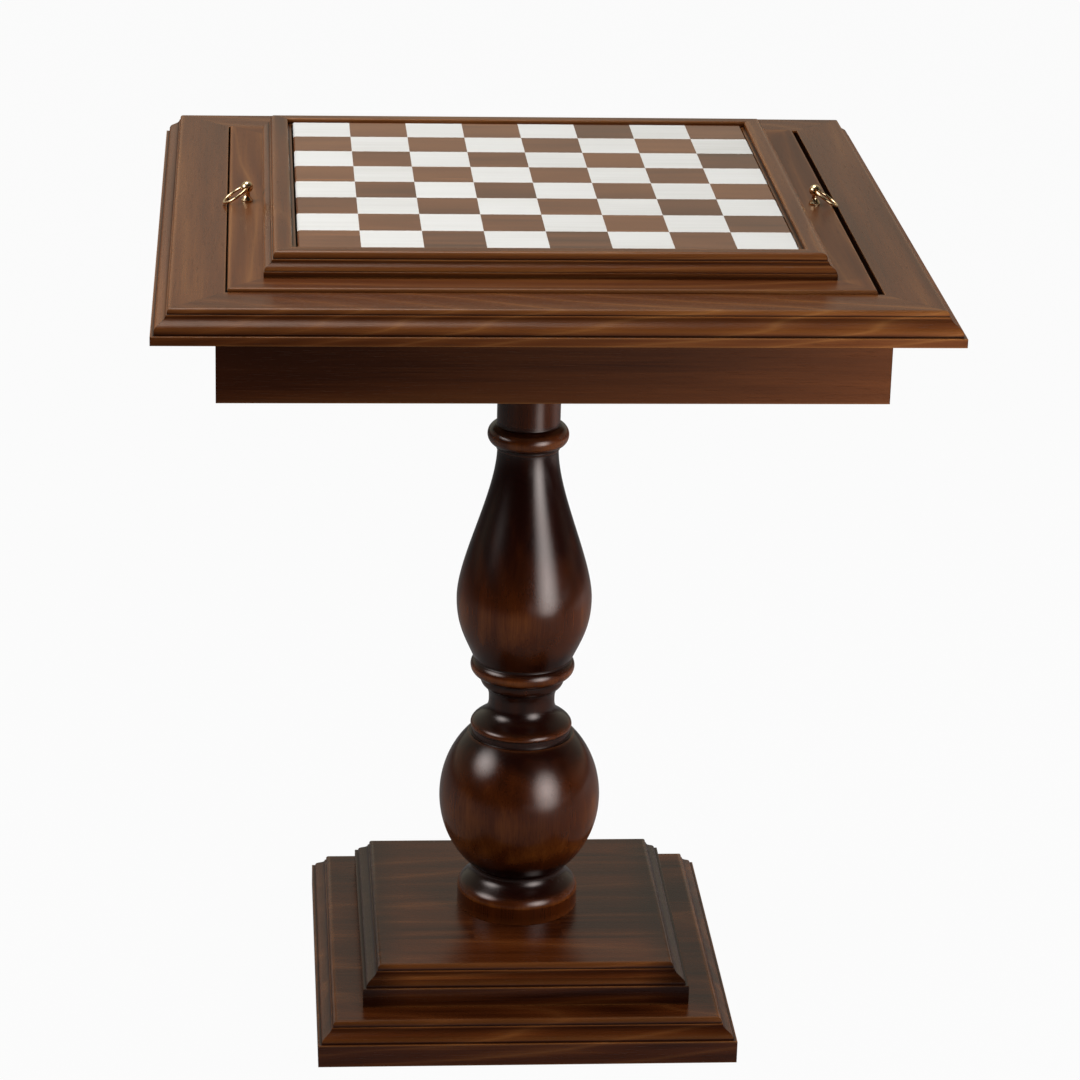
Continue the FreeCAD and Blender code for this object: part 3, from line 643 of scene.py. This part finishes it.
# %% Raised frame
low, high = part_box("board_moulding_front")
frame_half = panel_centre[1] - low.y
frame_flat = 9.5 * MM
inner_round = 2.0 * MM
inner_step = 5.0 * MM
inner_ledge = 3.0 * MM
edge_across = sum((BOARD_EDGE.ledge, BOARD_EDGE.ogee_run, BOARD_EDGE.fillet, BOARD_EDGE.rounding)) * MM
flat_end = edge_across + frame_flat
ledge_start = flat_end + inner_round
inner_edge = arc((flat_end, high.z - inner_round), inner_round, 90, 0)
step_corners = [(ledge_start, high.z - inner_step), (ledge_start + inner_ledge, high.z - inner_step),
                (ledge_start + inner_ledge, low.z)]
run, ridge = eased(edge_outline(BOARD_EDGE, low.z) + [inner_edge, step_corners])
rise = run[:, 1] - low.z
on_face = (run[:, 0] < BOARD_EDGE.ledge * MM) & (rise < BOARD_EDGE.face * MM)
# Painted shade: darker towards the foot of the face.
painted_foot_shade = np.where(on_face, np.clip(1.1 - rise / (BOARD_EDGE.face * MM), 0, 1), 0)
frame_outline = (run, ridge - painted_foot_shade)
for number, side in enumerate(SIDES):
    finish = stained_wood("walnut_board_frame_" + side, walnut, ALONG[side], 31.2 + number, rough=0.22)
    rail("board_moulding", frame_outline, frame_half, side, panel_centre, finish, "panel")
print("board frame", round(2 * frame_half, 4), "m wide")

# %% [markdown]
# ## Plinth
# Two square slabs with the cutter's edge worked all round. The upper one is glued up from strips that run
# from side to side. Its left and right edges are end grain, which drinks stain and goes nearly black, so
# the finish darkens with the distance from the middle. A slab is one closed surface: the edge is a run of
# squares, and two faces close it.

# %% Slabs
red_walnut = Stain(deep=(0.014, 0.0026, 0.0006), middle=(0.06, 0.014, 0.0028), pale=(0.18, 0.058, 0.013),
                   glaze=(0.008, 0.002, 0.0009), worn=(0.3, 0.12, 0.034))
INNER_FLAT = 30 * MM
STRIP_SIZE = (0.058, 0.36)
END_GRAIN = 40 * MM
for name, edge, seed, staves, ends in (("plinth_lower", LOWER_PLINTH_EDGE, 41.3, None, None),
                                       ("plinth_upper", UPPER_PLINTH_EDGE, 43.8, STRIP_SIZE, END_GRAIN)):
    low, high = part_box(name)
    run, ridge = eased(edge_outline(edge, low.z) + [[(INNER_FLAT, high.z), (INNER_FLAT, low.z)]])
    inside = np.flatnonzero(run[:, 0] > INNER_FLAT - 2 * BROAD)
    run = np.roll(np.delete(run, inside, 0), -inside[0], 0)
    ridge = np.roll(np.delete(ridge, inside), -inside[0])
    # Painted light: the drift makes the slabs darker to the right, as the lamps light their left more.
    finish = stained_wood("walnut_" + name, red_walnut, "X", seed, heart=(0.3, 0.02, -0.4), tone=-0.11,
                          contrast=1.0, lines=0.4, spacing=0.014, slope=0.15, sway=0.06, painted_light_drift=-0.4,
                          specular=0.44, sheen=(1.0, 0.93, 0.98), staves=staves,
                          end_grain=high.x - ends if ends else None)
    slab(name, (run, ridge), high.x, finish, "table")
    print(name, round(2 * high.x, 4), "m wide")

# %% [markdown]
# ## Turned column
# From the foot up: a disc with a rounded shoulder, a ball, a band and collar, a waist, two rings, a vase
# and a bead under the flared cap. The outline is one closed run that also goes down the bore of the tie
# rod, so the turned surface has no open end. The radii come first, then the heights of the members, each
# from the one below it.

# %% Column outline
low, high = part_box("column")
BORE = 5.5 * MM
foot, neck, ball, ball_top, ball_rise = np.array([55.4, 41.5, 73.6, 48.0, 83.0]) * MM
band, collar, waist = np.array([45.2, 46.3, 30.0]) * MM
waist_top, small_ring, big_ring, ring_top = np.array([33.0, 38.5, 47.3, 44.0]) * MM
vase_foot, belly, vase_neck, fillet = np.array([45.0, 61.1, 27.4, 28.5]) * MM
bead, top_neck, flare, cap = np.array([36.4, 28.3, 48.0, 52.0]) * MM
FOOT_LEAN = 0.45
BELLY_PULL = 0.45
SHOULDER_PULL = 0.25
NECK_PULL = 0.3


def level(*rises):
    """Height above the foot of the column, from the rises of the members below."""
    return low.z + sum(rises) * MM


shoulder = level(15.5)
ball_low = level(39.5)
ball_middle = ball_low + ball_rise * math.sqrt(1 - (neck / ball) ** 2)
ball_high = ball_middle + ball_rise * math.sqrt(1 - (ball_top / ball) ** 2)
collar_low, collar_high, waist_low, waist_high = ball_high + np.cumsum([6.5, 1.5, 23.0, 15.0]) * MM
small_high, ring_low, ring_high, vase_low = waist_high + np.cumsum([9.0, 2.0, 16.0, 2.0]) * MM
belly_level, fillet_low, bead_low, bead_high = vase_low + np.cumsum([56.0, 143.0, 3.0, 20.0]) * MM
flare_low, cap_low = bead_high + np.cumsum([5.0, 76.0]) * MM


def reverse_curve(r0, z0, r1, z1, turn):
    """Round below and hollow above, upright at both ends."""
    middle = z0 + (z1 - z0) * turn
    return bezier((r0, z0), (r0, middle), (r1, middle), (r1, z1))


ball_turn = np.linspace(-math.acos(neck / ball), math.acos(ball_top / ball), 120)
ball_run = np.stack([ball * np.cos(ball_turn), ball_middle + ball_rise * np.sin(ball_turn)], 1)
belly_rise = belly_level - vase_low
shoulder_rise = fillet_low - belly_level
column_run = [
    [(BORE, low.z), (foot, low.z)], reverse_curve(foot, shoulder, neck, ball_low, 0.5), ball_run,
    [(band, ball_high), (band, collar_low)],
    bezier((band, collar_low), ((band + collar) / 2, collar_low), (collar, (collar_low + collar_high) / 2),
           (collar, collar_high)),
    reverse_curve(collar, collar_high, waist, waist_low, 0.35),
    bezier((waist, waist_low), (waist, (waist_low + waist_high) / 2), (waist, (waist_low + waist_high) / 2),
           (waist_top, waist_high)),
    bezier((waist_top, waist_high), ((waist_top + small_ring) / 2, waist_high),
           (small_ring, (waist_high + small_high) / 2), (small_ring, small_high)),
    bulge((small_ring, ring_low), (big_ring, (ring_low + ring_high) / 2), (ring_top, ring_high)),
    [(ring_top, vase_low)],
    bezier((vase_foot, vase_low), (vase_foot + FOOT_LEAN * belly_rise / 3, vase_low + belly_rise / 3),
           (belly, belly_level - BELLY_PULL * belly_rise), (belly, belly_level)),
    bezier((belly, belly_level), (belly, belly_level + SHOULDER_PULL * shoulder_rise),
           (vase_neck, fillet_low - NECK_PULL * shoulder_rise), (vase_neck, fillet_low)),
    [(fillet, fillet_low)],
    bulge((fillet, bead_low), (bead, (bead_low + bead_high) / 2), (top_neck, bead_high)),
    bezier((top_neck, flare_low), (top_neck, (flare_low + cap_low) / 2), (top_neck, cap_low),
           (flare, cap_low)),
    [(cap, cap_low), (cap, high.z), (BORE, high.z)],
]
fine, ridge = eased([np.vstack(column_run)[::-1]])
print("column", round(high.z - low.z, 4), "m tall,", len(fine), "points in its outline")

# %% [markdown]
# ## Finish of the column
# A finisher sprays the stain on a column in a burst: pale on the swellings and darker in the hollows. Over
# it comes painted shade on what faces up or down, where the top and the members above and below keep the
# light off. The foot disc is also set darker and what lies above the bead lighter. Painting that would need
# an image, so it is worked out from the outline: from how far each point stands out over a wide stretch,
# and from the way it faces. Points are then left out where the outline is nearly straight, because a
# turned piece repeats each of them all the way round.

# %% Burst and turning
BURST_SPREAD = 20 * MM
BURST_DEPTH = 5 * MM
BURST_TONE = -0.28
proud = stands_out(fine, BURST_SPREAD) / BURST_DEPTH
tilt = outward_of(fine)[:, 1]
swelling = 0.9 * np.clip(proud, -0.2, 0.6)
# Painted shade: what faces up or down is darkened, as the top and the members keep the light off it.
shade_on_upper_faces = 0.8 * np.clip(tilt, 0, 1)
shade_on_lower_faces = 2.2 * np.clip(-tilt - 0.45, 0, 1)
# The foot disc is set darker and what lies above the bead lighter.
foot_disc = 0.4 * (fine[:, 1] < shoulder)
top_flare = 0.35 * (fine[:, 1] > bead_high)
burst = swelling - shade_on_upper_faces - shade_on_lower_faces - foot_disc + top_flare + BURST_TONE
dark_walnut = Stain(deep=(0.007, 0.0011, 0.0005), middle=(0.042, 0.0085, 0.0013), pale=(0.18, 0.052, 0.009),
                    glaze=(0.006, 0.0013, 0.0007), worn=(0.14, 0.04, 0.01))
column_finish = stained_wood("walnut_column", dark_walnut, "Z", 51.6, heart=(0.01, -0.02, 0.0), spacing=0.011,
                             sway=0.02, rough=0.2, contrast=0.6, lines=0.15, relief=0.12, specular=0.45,
                             sheen=(1.0, 0.89, 0.85))
keep = thinned(fine)[::-1]
column_values = {"ridge": ridge[keep], "burst": burst[keep]}
column = turning("column", fine[keep], column_values, column_finish, "table")
print("turned column:", len(keep), "points of its outline kept")

# %% [markdown]
# ## Board
# The squares are veneer under gloss lacquer, flush with each other. Every dark square is cut from a
# different place in the sheet, so its tone and grain change from square to square: the number of the
# square, found by dividing the place by the size of a square and rounding down, picks them by chance. The
# light squares are white-stained veneer.

# %% Veneers
board_low, board_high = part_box("board_core")
square = (board_high.x - board_low.x) / 8


def veneer(name, sheet, seed, contrast, rough):
    """Lacquered veneer whose grain and tone change at each square."""
    material, place = start_finish(name)
    corner = [-board_low.x / square, -board_low.y / square, 0.0]
    scale = [1 / square, 1 / square, 0.0]
    number = cell_of(place.node("Mapping", {}, {"Vector": place, "Scale": scale, "Location": corner}))
    spot = place.node("VectorMath", {"operation": "ADD"}, {0: place, 1: by_chance(number, "Color")})
    slow = drawn_out(spot, "X", seed, 22.0, 5.0, detail=2.0)
    bands = drawn_out(spot, "X", seed + 1.0, 160.0, 6.0)
    fibre = drawn_out(spot, "X", seed + 2.0, 900.0, 22.0, detail=4.0)
    pores = pores_in(spot, "X", seed + 3.0, 1500.0, 70.0)
    tone = by_chance(number, "Value")
    figure = (slow * 0.6 + bands * 0.7 + fibre * 0.35 + tone * 0.35 - 1.0) * contrast + 0.5
    stops = [(0.15, sheet.deep), (0.5, sheet.middle), (0.85, sheet.pale)]
    colour = figure.node("ValToRGB", {"stops": stops}, {"Fac": figure})
    colour = blend(pores * (0.4 * contrast), colour, (*sheet.deep, 1.0))
    roughness = fibre * 0.05 + (rough - 0.025)
    height = fibre * 0.4 + bands * 0.3
    bump = height.node("Bump", {}, {"Strength": 0.05, "Distance": 0.0002, "Height": height})
    end_finish(place, {"Base Color": colour, "Roughness": roughness, "Normal": bump})
    return material


Sheet = namedtuple("Sheet", "deep middle pale")
brown_veneer = Sheet(deep=(0.065, 0.018, 0.0055), middle=(0.15, 0.048, 0.0155), pale=(0.24, 0.09, 0.032))
white_veneer = Sheet(deep=(0.72, 0.71, 0.69), middle=(0.83, 0.825, 0.81), pale=(0.88, 0.88, 0.87))


def dress(material, *names):
    """Gives CAD nodes a finish in place of their own."""
    for name in names:
        data = nodes[name].data
        data.materials.clear()
        data.materials.append(material)


dress(veneer("brown_veneer", brown_veneer, 61.2, 1.0, 0.13), "dark_squares")
dress(veneer("white_veneer", white_veneer, 67.9, 0.8, 0.12), "light_squares")
print("squares of", round(square, 4), "m")

# %% [markdown]
# ## Brass ring pulls
# Each pull is a turned brass post with a ball head, and a ring of drawn wire that hangs in the ball's eye.
# The ring is a torus: a circle of wire carried round a larger circle. Its middle is the middle of the
# solid's box and its pivot is the joint's own point, so the ring lies exactly where the joint expects it.


# %% Brass and rings
def brass_finish():
    """Polished brass: a metal whose colour and gloss change a little where fingers have dulled it."""
    material, place = start_finish("polished_brass")
    cloud = place.node("TexNoise", {}, {"Vector": place, "Scale": 180.0, "Detail": 3.0})
    swirl = place.node("TexNoise", {}, {"Vector": place, "Scale": 2600.0, "Detail": 2.0})
    colour = blend(cloud, (0.82, 0.56, 0.3, 1.0), (0.95, 0.75, 0.48, 1.0))
    bump = swirl.node("Bump", {}, {"Strength": 0.04, "Distance": 0.0001, "Height": swirl})
    dulled = cloud * 0.16 + 0.16
    end_finish(place, {"Base Color": colour, "Metallic": 1.0, "Roughness": dulled, "Normal": bump})
    return material


def pull_ring(side, material, turns=96, wire_points=24):
    """Torus: middle + (R + w cos v)(out cos u + y sin u) + w sin v normal."""
    low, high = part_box("ring_" + side)
    middle = np.array((low + high) / 2)
    joint = next(joint for joint in frame["joints"] if joint["child"] == "ring_" + side)
    out = middle - np.array(joint["pos_m"])
    radius = np.linalg.norm(out)
    out = out / radius
    wire = (high.y - low.y) / 2 - radius
    sideways = np.array([0.0, 1.0, 0.0])
    normal = np.cross(out, sideways)
    u = np.linspace(0, 2 * math.pi, turns, endpoint=False)[:, None, None]
    v = np.linspace(0, 2 * math.pi, wire_points, endpoint=False)[None, :, None]
    circle = out * np.cos(u) + sideways * np.sin(u)
    points = middle + (radius + wire * np.cos(v)) * circle + wire * np.sin(v) * normal
    faces = grid_faces(turns, wire_points, rows_closed=True, columns_closed=True)
    outward_faces = [face[::-1] for face in faces]
    print("ring", side, "radius", round(float(radius), 5), "wire", round(float(wire), 5))
    return make_piece("pull_ring_" + side, points.reshape(-1, 3), outward_faces, {}, material, "ring_" + side,
                      ["ring_" + side])


brass = brass_finish()
pulls = [pull_ring(side, brass) for side in ("left", "right")]
posts = [nodes["ring_post_left"], nodes["ring_post_right"]]
dress(brass, "ring_post_left", "ring_post_right")

# %% [markdown]
# ## What is seen from below and inside
# The floor of the well and the block that the column meets are plain wood, and the fixings are plated
# steel. The cores are stained nearly black, as painted shade for the gaps round the board where their
# edges show. They show when the panel is lifted or the table is turned over, so they get finishes of
# their own.

# %% Inner wood and steel
beech = Stain(deep=(0.25, 0.13, 0.062), middle=(0.42, 0.24, 0.12), pale=(0.52, 0.34, 0.19),
              glaze=(0.12, 0.07, 0.04), worn=(0.6, 0.45, 0.3))
# Painted shade: the cores are nearly black so that the gaps round the board look shaded.
dark_core = Stain(deep=(0.01, 0.005, 0.003), middle=(0.025, 0.011, 0.006), pale=(0.05, 0.022, 0.012),
                  glaze=(0.01, 0.005, 0.003), worn=(0.05, 0.022, 0.012))
dress(stained_wood("plain_well_floor", beech, "X", 71.5, rough=0.5, staves=(0.07, 0.5)), "well_floor")
dress(stained_wood("stained_block", walnut, "X", 73.1, rough=0.4), "mounting_block")
dress(stained_wood("plain_joint_wood", beech, "X", 74.3, rough=0.55), "apron_dowels", "top_mitre_splines")
dress(stained_wood("dark_core", dark_core, "X", 75.9, rough=0.5), "panel_core", "board_core")


def steel_finish():
    """Zinc-plated steel with the fine lines of its turning."""
    material, place = start_finish("plated_steel")
    lines = drawn_out(place, "Z", 81.0, 900.0, 2500.0)
    colour = blend(lines, (0.42, 0.42, 0.41, 1.0), (0.62, 0.62, 0.6, 1.0))
    end_finish(place, {"Base Color": colour, "Metallic": 1.0, "Roughness": lines * 0.2 + 0.25})
    return material


steel = steel_finish()
dress(steel, "plinth_screws", "block_screws", "board_screws", "tie_rod", "tie_rod_nuts", "tie_rod_washers")
print("inner pieces dressed")

# %% [markdown]
# ## Studio floor
# The table stands on a white floor. A floor that is bright enough to look white would also light the table
# from below, so only what the camera sees of it is lifted to white, and it keeps a soft shadow. Lacquer
# shows what is round it, so glossy rays see a faint glow on the floor behind, and a white patch in front on
# the right.


# %% Floor
def ray_is(place, kind):
    """1 for rays of this kind, such as Camera or Glossy, and 0 for others."""
    return place.node("LightPath", {}, {}, output="Is " + kind + " Ray")


def floor_finish():
    """Pale floor: mostly white to the camera, a plain grey for the light that it throws back."""
    material, place = start_finish("pale_floor")
    speckle = place.node("TexNoise", {}, {"Vector": place, "Scale": 40.0, "Detail": 2.0})
    colour = blend(speckle, (0.15, 0.15, 0.15, 1.0), (0.17, 0.17, 0.17, 1.0))
    matt = place.node("BsdfDiffuse", {}, {"Color": colour})
    white = place.node("Emission", {}, {"Color": (1.0, 1.0, 1.0, 1.0), "Strength": 1.0})
    behind = clip(coordinate(place, "Y") * 1.2 + 0.1)
    front = clip(coordinate(place, "Y") * -1.0 - 1.2)
    right = clip(coordinate(place, "X") * 1.6 - 0.1)
    seen = (ray_is(place, "Camera") + ray_is(place, "Transmission")) * 0.96
    share = clip(seen + ray_is(place, "Glossy") * (behind * 0.03 + front * right * 0.85))
    surface = place.node("MixShader", {}, {0: share, 1: matt, 2: white})
    place.node("OutputMaterial", {}, {"Surface": surface})
    return material


FLOOR_REACH = 25.0
floor_corners = np.array([(-1, -1, 0), (1, -1, 0), (1, 1, 0), (-1, 1, 0)]) * FLOOR_REACH
floor_mesh = bpy.data.meshes.new("studio_floor")
floor_mesh.from_pydata(floor_corners.tolist(), [], [(0, 1, 2, 3)])
floor_mesh.materials.append(floor_finish())
studio_floor = add_object("studio_floor", floor_mesh)
print("floor", 2 * FLOOR_REACH, "m wide")

# %% [markdown]
# ## Surroundings
# The camera sees plain white round the table. In a white room the lacquer would look washed out, so the
# rays that leave the wood see a nearly dark room with a dim, warm wall behind the table, which gives the
# flats their sheen. The wall is brighter to glossy rays than to those that light the wood.

# %% Surroundings
ROOM_GLOW = 0.01
WALL_GLOW = 0.12
WALL_SHEEN = 0.27
WALL_COLOUR = (1.0, 0.96, 0.78, 1.0)
world = bpy.data.worlds.new("studio")
scene.world = world
world.use_nodes = True
world.node_tree.nodes.clear()
sky = Wire(world.node_tree, world.node_tree.nodes.new("ShaderNodeTexCoord").outputs["Generated"])
behind = clip(coordinate(sky, "Y") + 0.1)
glow = (ray_is(sky, "Glossy") * WALL_SHEEN + WALL_GLOW) * behind + ROOM_GLOW
glow_colour = blend(glow, (0.0, 0.0, 0.0, 1.0), WALL_COLOUR)
dim = sky.node("Background", {}, {"Color": glow_colour, "Strength": 1.0})
white = sky.node("Background", {}, {"Color": (1.0, 1.0, 1.0, 1.0), "Strength": 1.0})
seen = clip(ray_is(sky, "Camera") + ray_is(sky, "Transmission"))
surroundings = sky.node("MixShader", {}, {0: seen, 1: dim, 2: white})
sky.node("OutputWorld", {}, {"Surface": surroundings})
print("surroundings:", len(world.node_tree.nodes), "nodes")

# %% [markdown]
# ## Lights
# A lacquered flat shows a lamp as a white glare from the side where it mirrors it, while a turned column
# needs a bright lamp for its small round highlights. So each lamp is one of two kinds. Fills light the wood
# and draw no highlight. Shines draw highlights and nothing else, and only on the pieces that are linked to
# them: the one overhead on the brass and on all the wood made above, those on the left and right on the
# column and the brass. The last two fade to their rims, so that their highlights have soft edges although
# the lacquer is glossy.


# %% Kinds of light
Lamp = namedtuple("Lamp", "place target width height power")


def soft_light(name, lamp):
    """A rectangular light that faces its target."""
    data = bpy.data.lights.new(name, "AREA")
    data.shape = "RECTANGLE"
    data.size = lamp.width
    data.size_y = lamp.height
    data.energy = lamp.power
    light = add_object(name, data)
    light.location = lamp.place
    light.rotation_euler = (Vector(lamp.target) - Vector(lamp.place)).to_track_quat("-Z", "Y").to_euler()
    return light


def faded(light):
    """Fades a light evenly from its middle to its rim, as the cloth of a softbox does."""
    light.data.use_nodes = True
    tree = light.data.node_tree
    tree.nodes.clear()
    spot = Wire(tree, tree.nodes.new("ShaderNodeNewGeometry").outputs["Parametric"])
    middle = [0.5, 0.5, 0.0]
    from_middle = spot.node("VectorMath", {"operation": "DISTANCE"}, {0: spot, 1: middle}, output="Value")
    cloth = spot.node("Emission", {}, {"Strength": clip(1.0 - from_middle * 2.0)})
    spot.node("OutputLight", {}, {"Surface": cloth})
    return light


def shine_only(light, receivers):
    """Keeps a light to the highlights of the pieces that receive it."""
    light.visible_diffuse = False
    group = bpy.data.collections.new(light.name + "_receivers")
    for piece in receivers:
        group.objects.link(piece)
    light.light_linking.receiver_collection = group


print("kinds of light: shine and fill")

# %% [markdown]
# ## Where the lamps stand
# Most lamps face the middle of the column. The one overhead faces the top and stands for both kinds. The
# fills go round the table from the left to the right. The strong one on the right stands a little behind,
# so it lights the right of the column and leaves the front of the apron alone.

# %% Lamps
TOP_MIDDLE = (0, 0, 0.7)
COLUMN_MIDDLE = (0, 0, 0.4)
OVERHEAD = Lamp((-0.5, 0.5, 3.2), TOP_MIDDLE, 1.8, 1.6, 49.0)
LEFT_SHINE = Lamp((-1.6, -0.45, 1.38), COLUMN_MIDDLE, 1.6, 1.3, 72.0)
RIGHT_SHINE = Lamp((0.85, -1.15, 0.55), COLUMN_MIDDLE, 1.2, 1.4, 60.0)
FILLS = {"overhead_fill": OVERHEAD,
         "left_fill": Lamp((-1.6, -0.45, 1.38), COLUMN_MIDDLE, 0.65, 0.65, 26.0),
         "left_back_fill": Lamp((-1.95, 0.28, 1.95), COLUMN_MIDDLE, 2.2, 1.0, 4.0),
         "front_fill": Lamp((0.85, -1.15, 0.85), COLUMN_MIDDLE, 0.5, 1.4, 10.0),
         "right_fill": Lamp((2.0, 0.5, 0.62), COLUMN_MIDDLE, 1.0, 1.0, 46.0),
         "near_fill": Lamp((0.7, -0.62, 0.6), COLUMN_MIDDLE, 0.25, 0.25, 4.5)}
turned_work = [column] + pulls + posts
shine_only(soft_light("overhead_shine", OVERHEAD), pieces + posts)
shine_only(faded(soft_light("left_shine", LEFT_SHINE)), turned_work)
shine_only(faded(soft_light("right_shine", RIGHT_SHINE)), turned_work)
for name, lamp in FILLS.items():
    soft_light(name, lamp).visible_glossy = False
print("lights:", [item.name for item in scene.objects if item.type == "LIGHT"])

# %% [markdown]
# ## Camera
# The view is from the front, a little left of the middle, about twenty degrees above level, with a long
# lens. Its place and turn come from fitting the corners of the table to the view: yaw, then pitch, then a
# slight roll.

# %% Camera
CAMERA_PLACE = (-0.24414, -3.1824, 1.6199)
YAW, PITCH, ROLL = -0.0806, 0.3568, 0.027
LENS_MM = 126.44
right = np.array([math.cos(YAW), math.sin(YAW), 0.0])
forward = np.array([-math.sin(YAW) * math.cos(PITCH), math.cos(YAW) * math.cos(PITCH), -math.sin(PITCH)])
up = np.cross(right, forward)
rolled_right = math.cos(ROLL) * right + math.sin(ROLL) * up
rolled_up = math.cos(ROLL) * up - math.sin(ROLL) * right
lens = bpy.data.cameras.new("photo_camera")
lens.sensor_width = 36.0
lens.lens = LENS_MM
camera = add_object("photo_camera", lens)
camera.rotation_euler = Matrix(np.stack([rolled_right, rolled_up, -forward], 1).tolist()).to_euler()
camera.location = CAMERA_PLACE
scene.camera = camera
scene.view_settings.view_transform = "Standard"
print("camera", CAMERA_PLACE, "lens", LENS_MM)
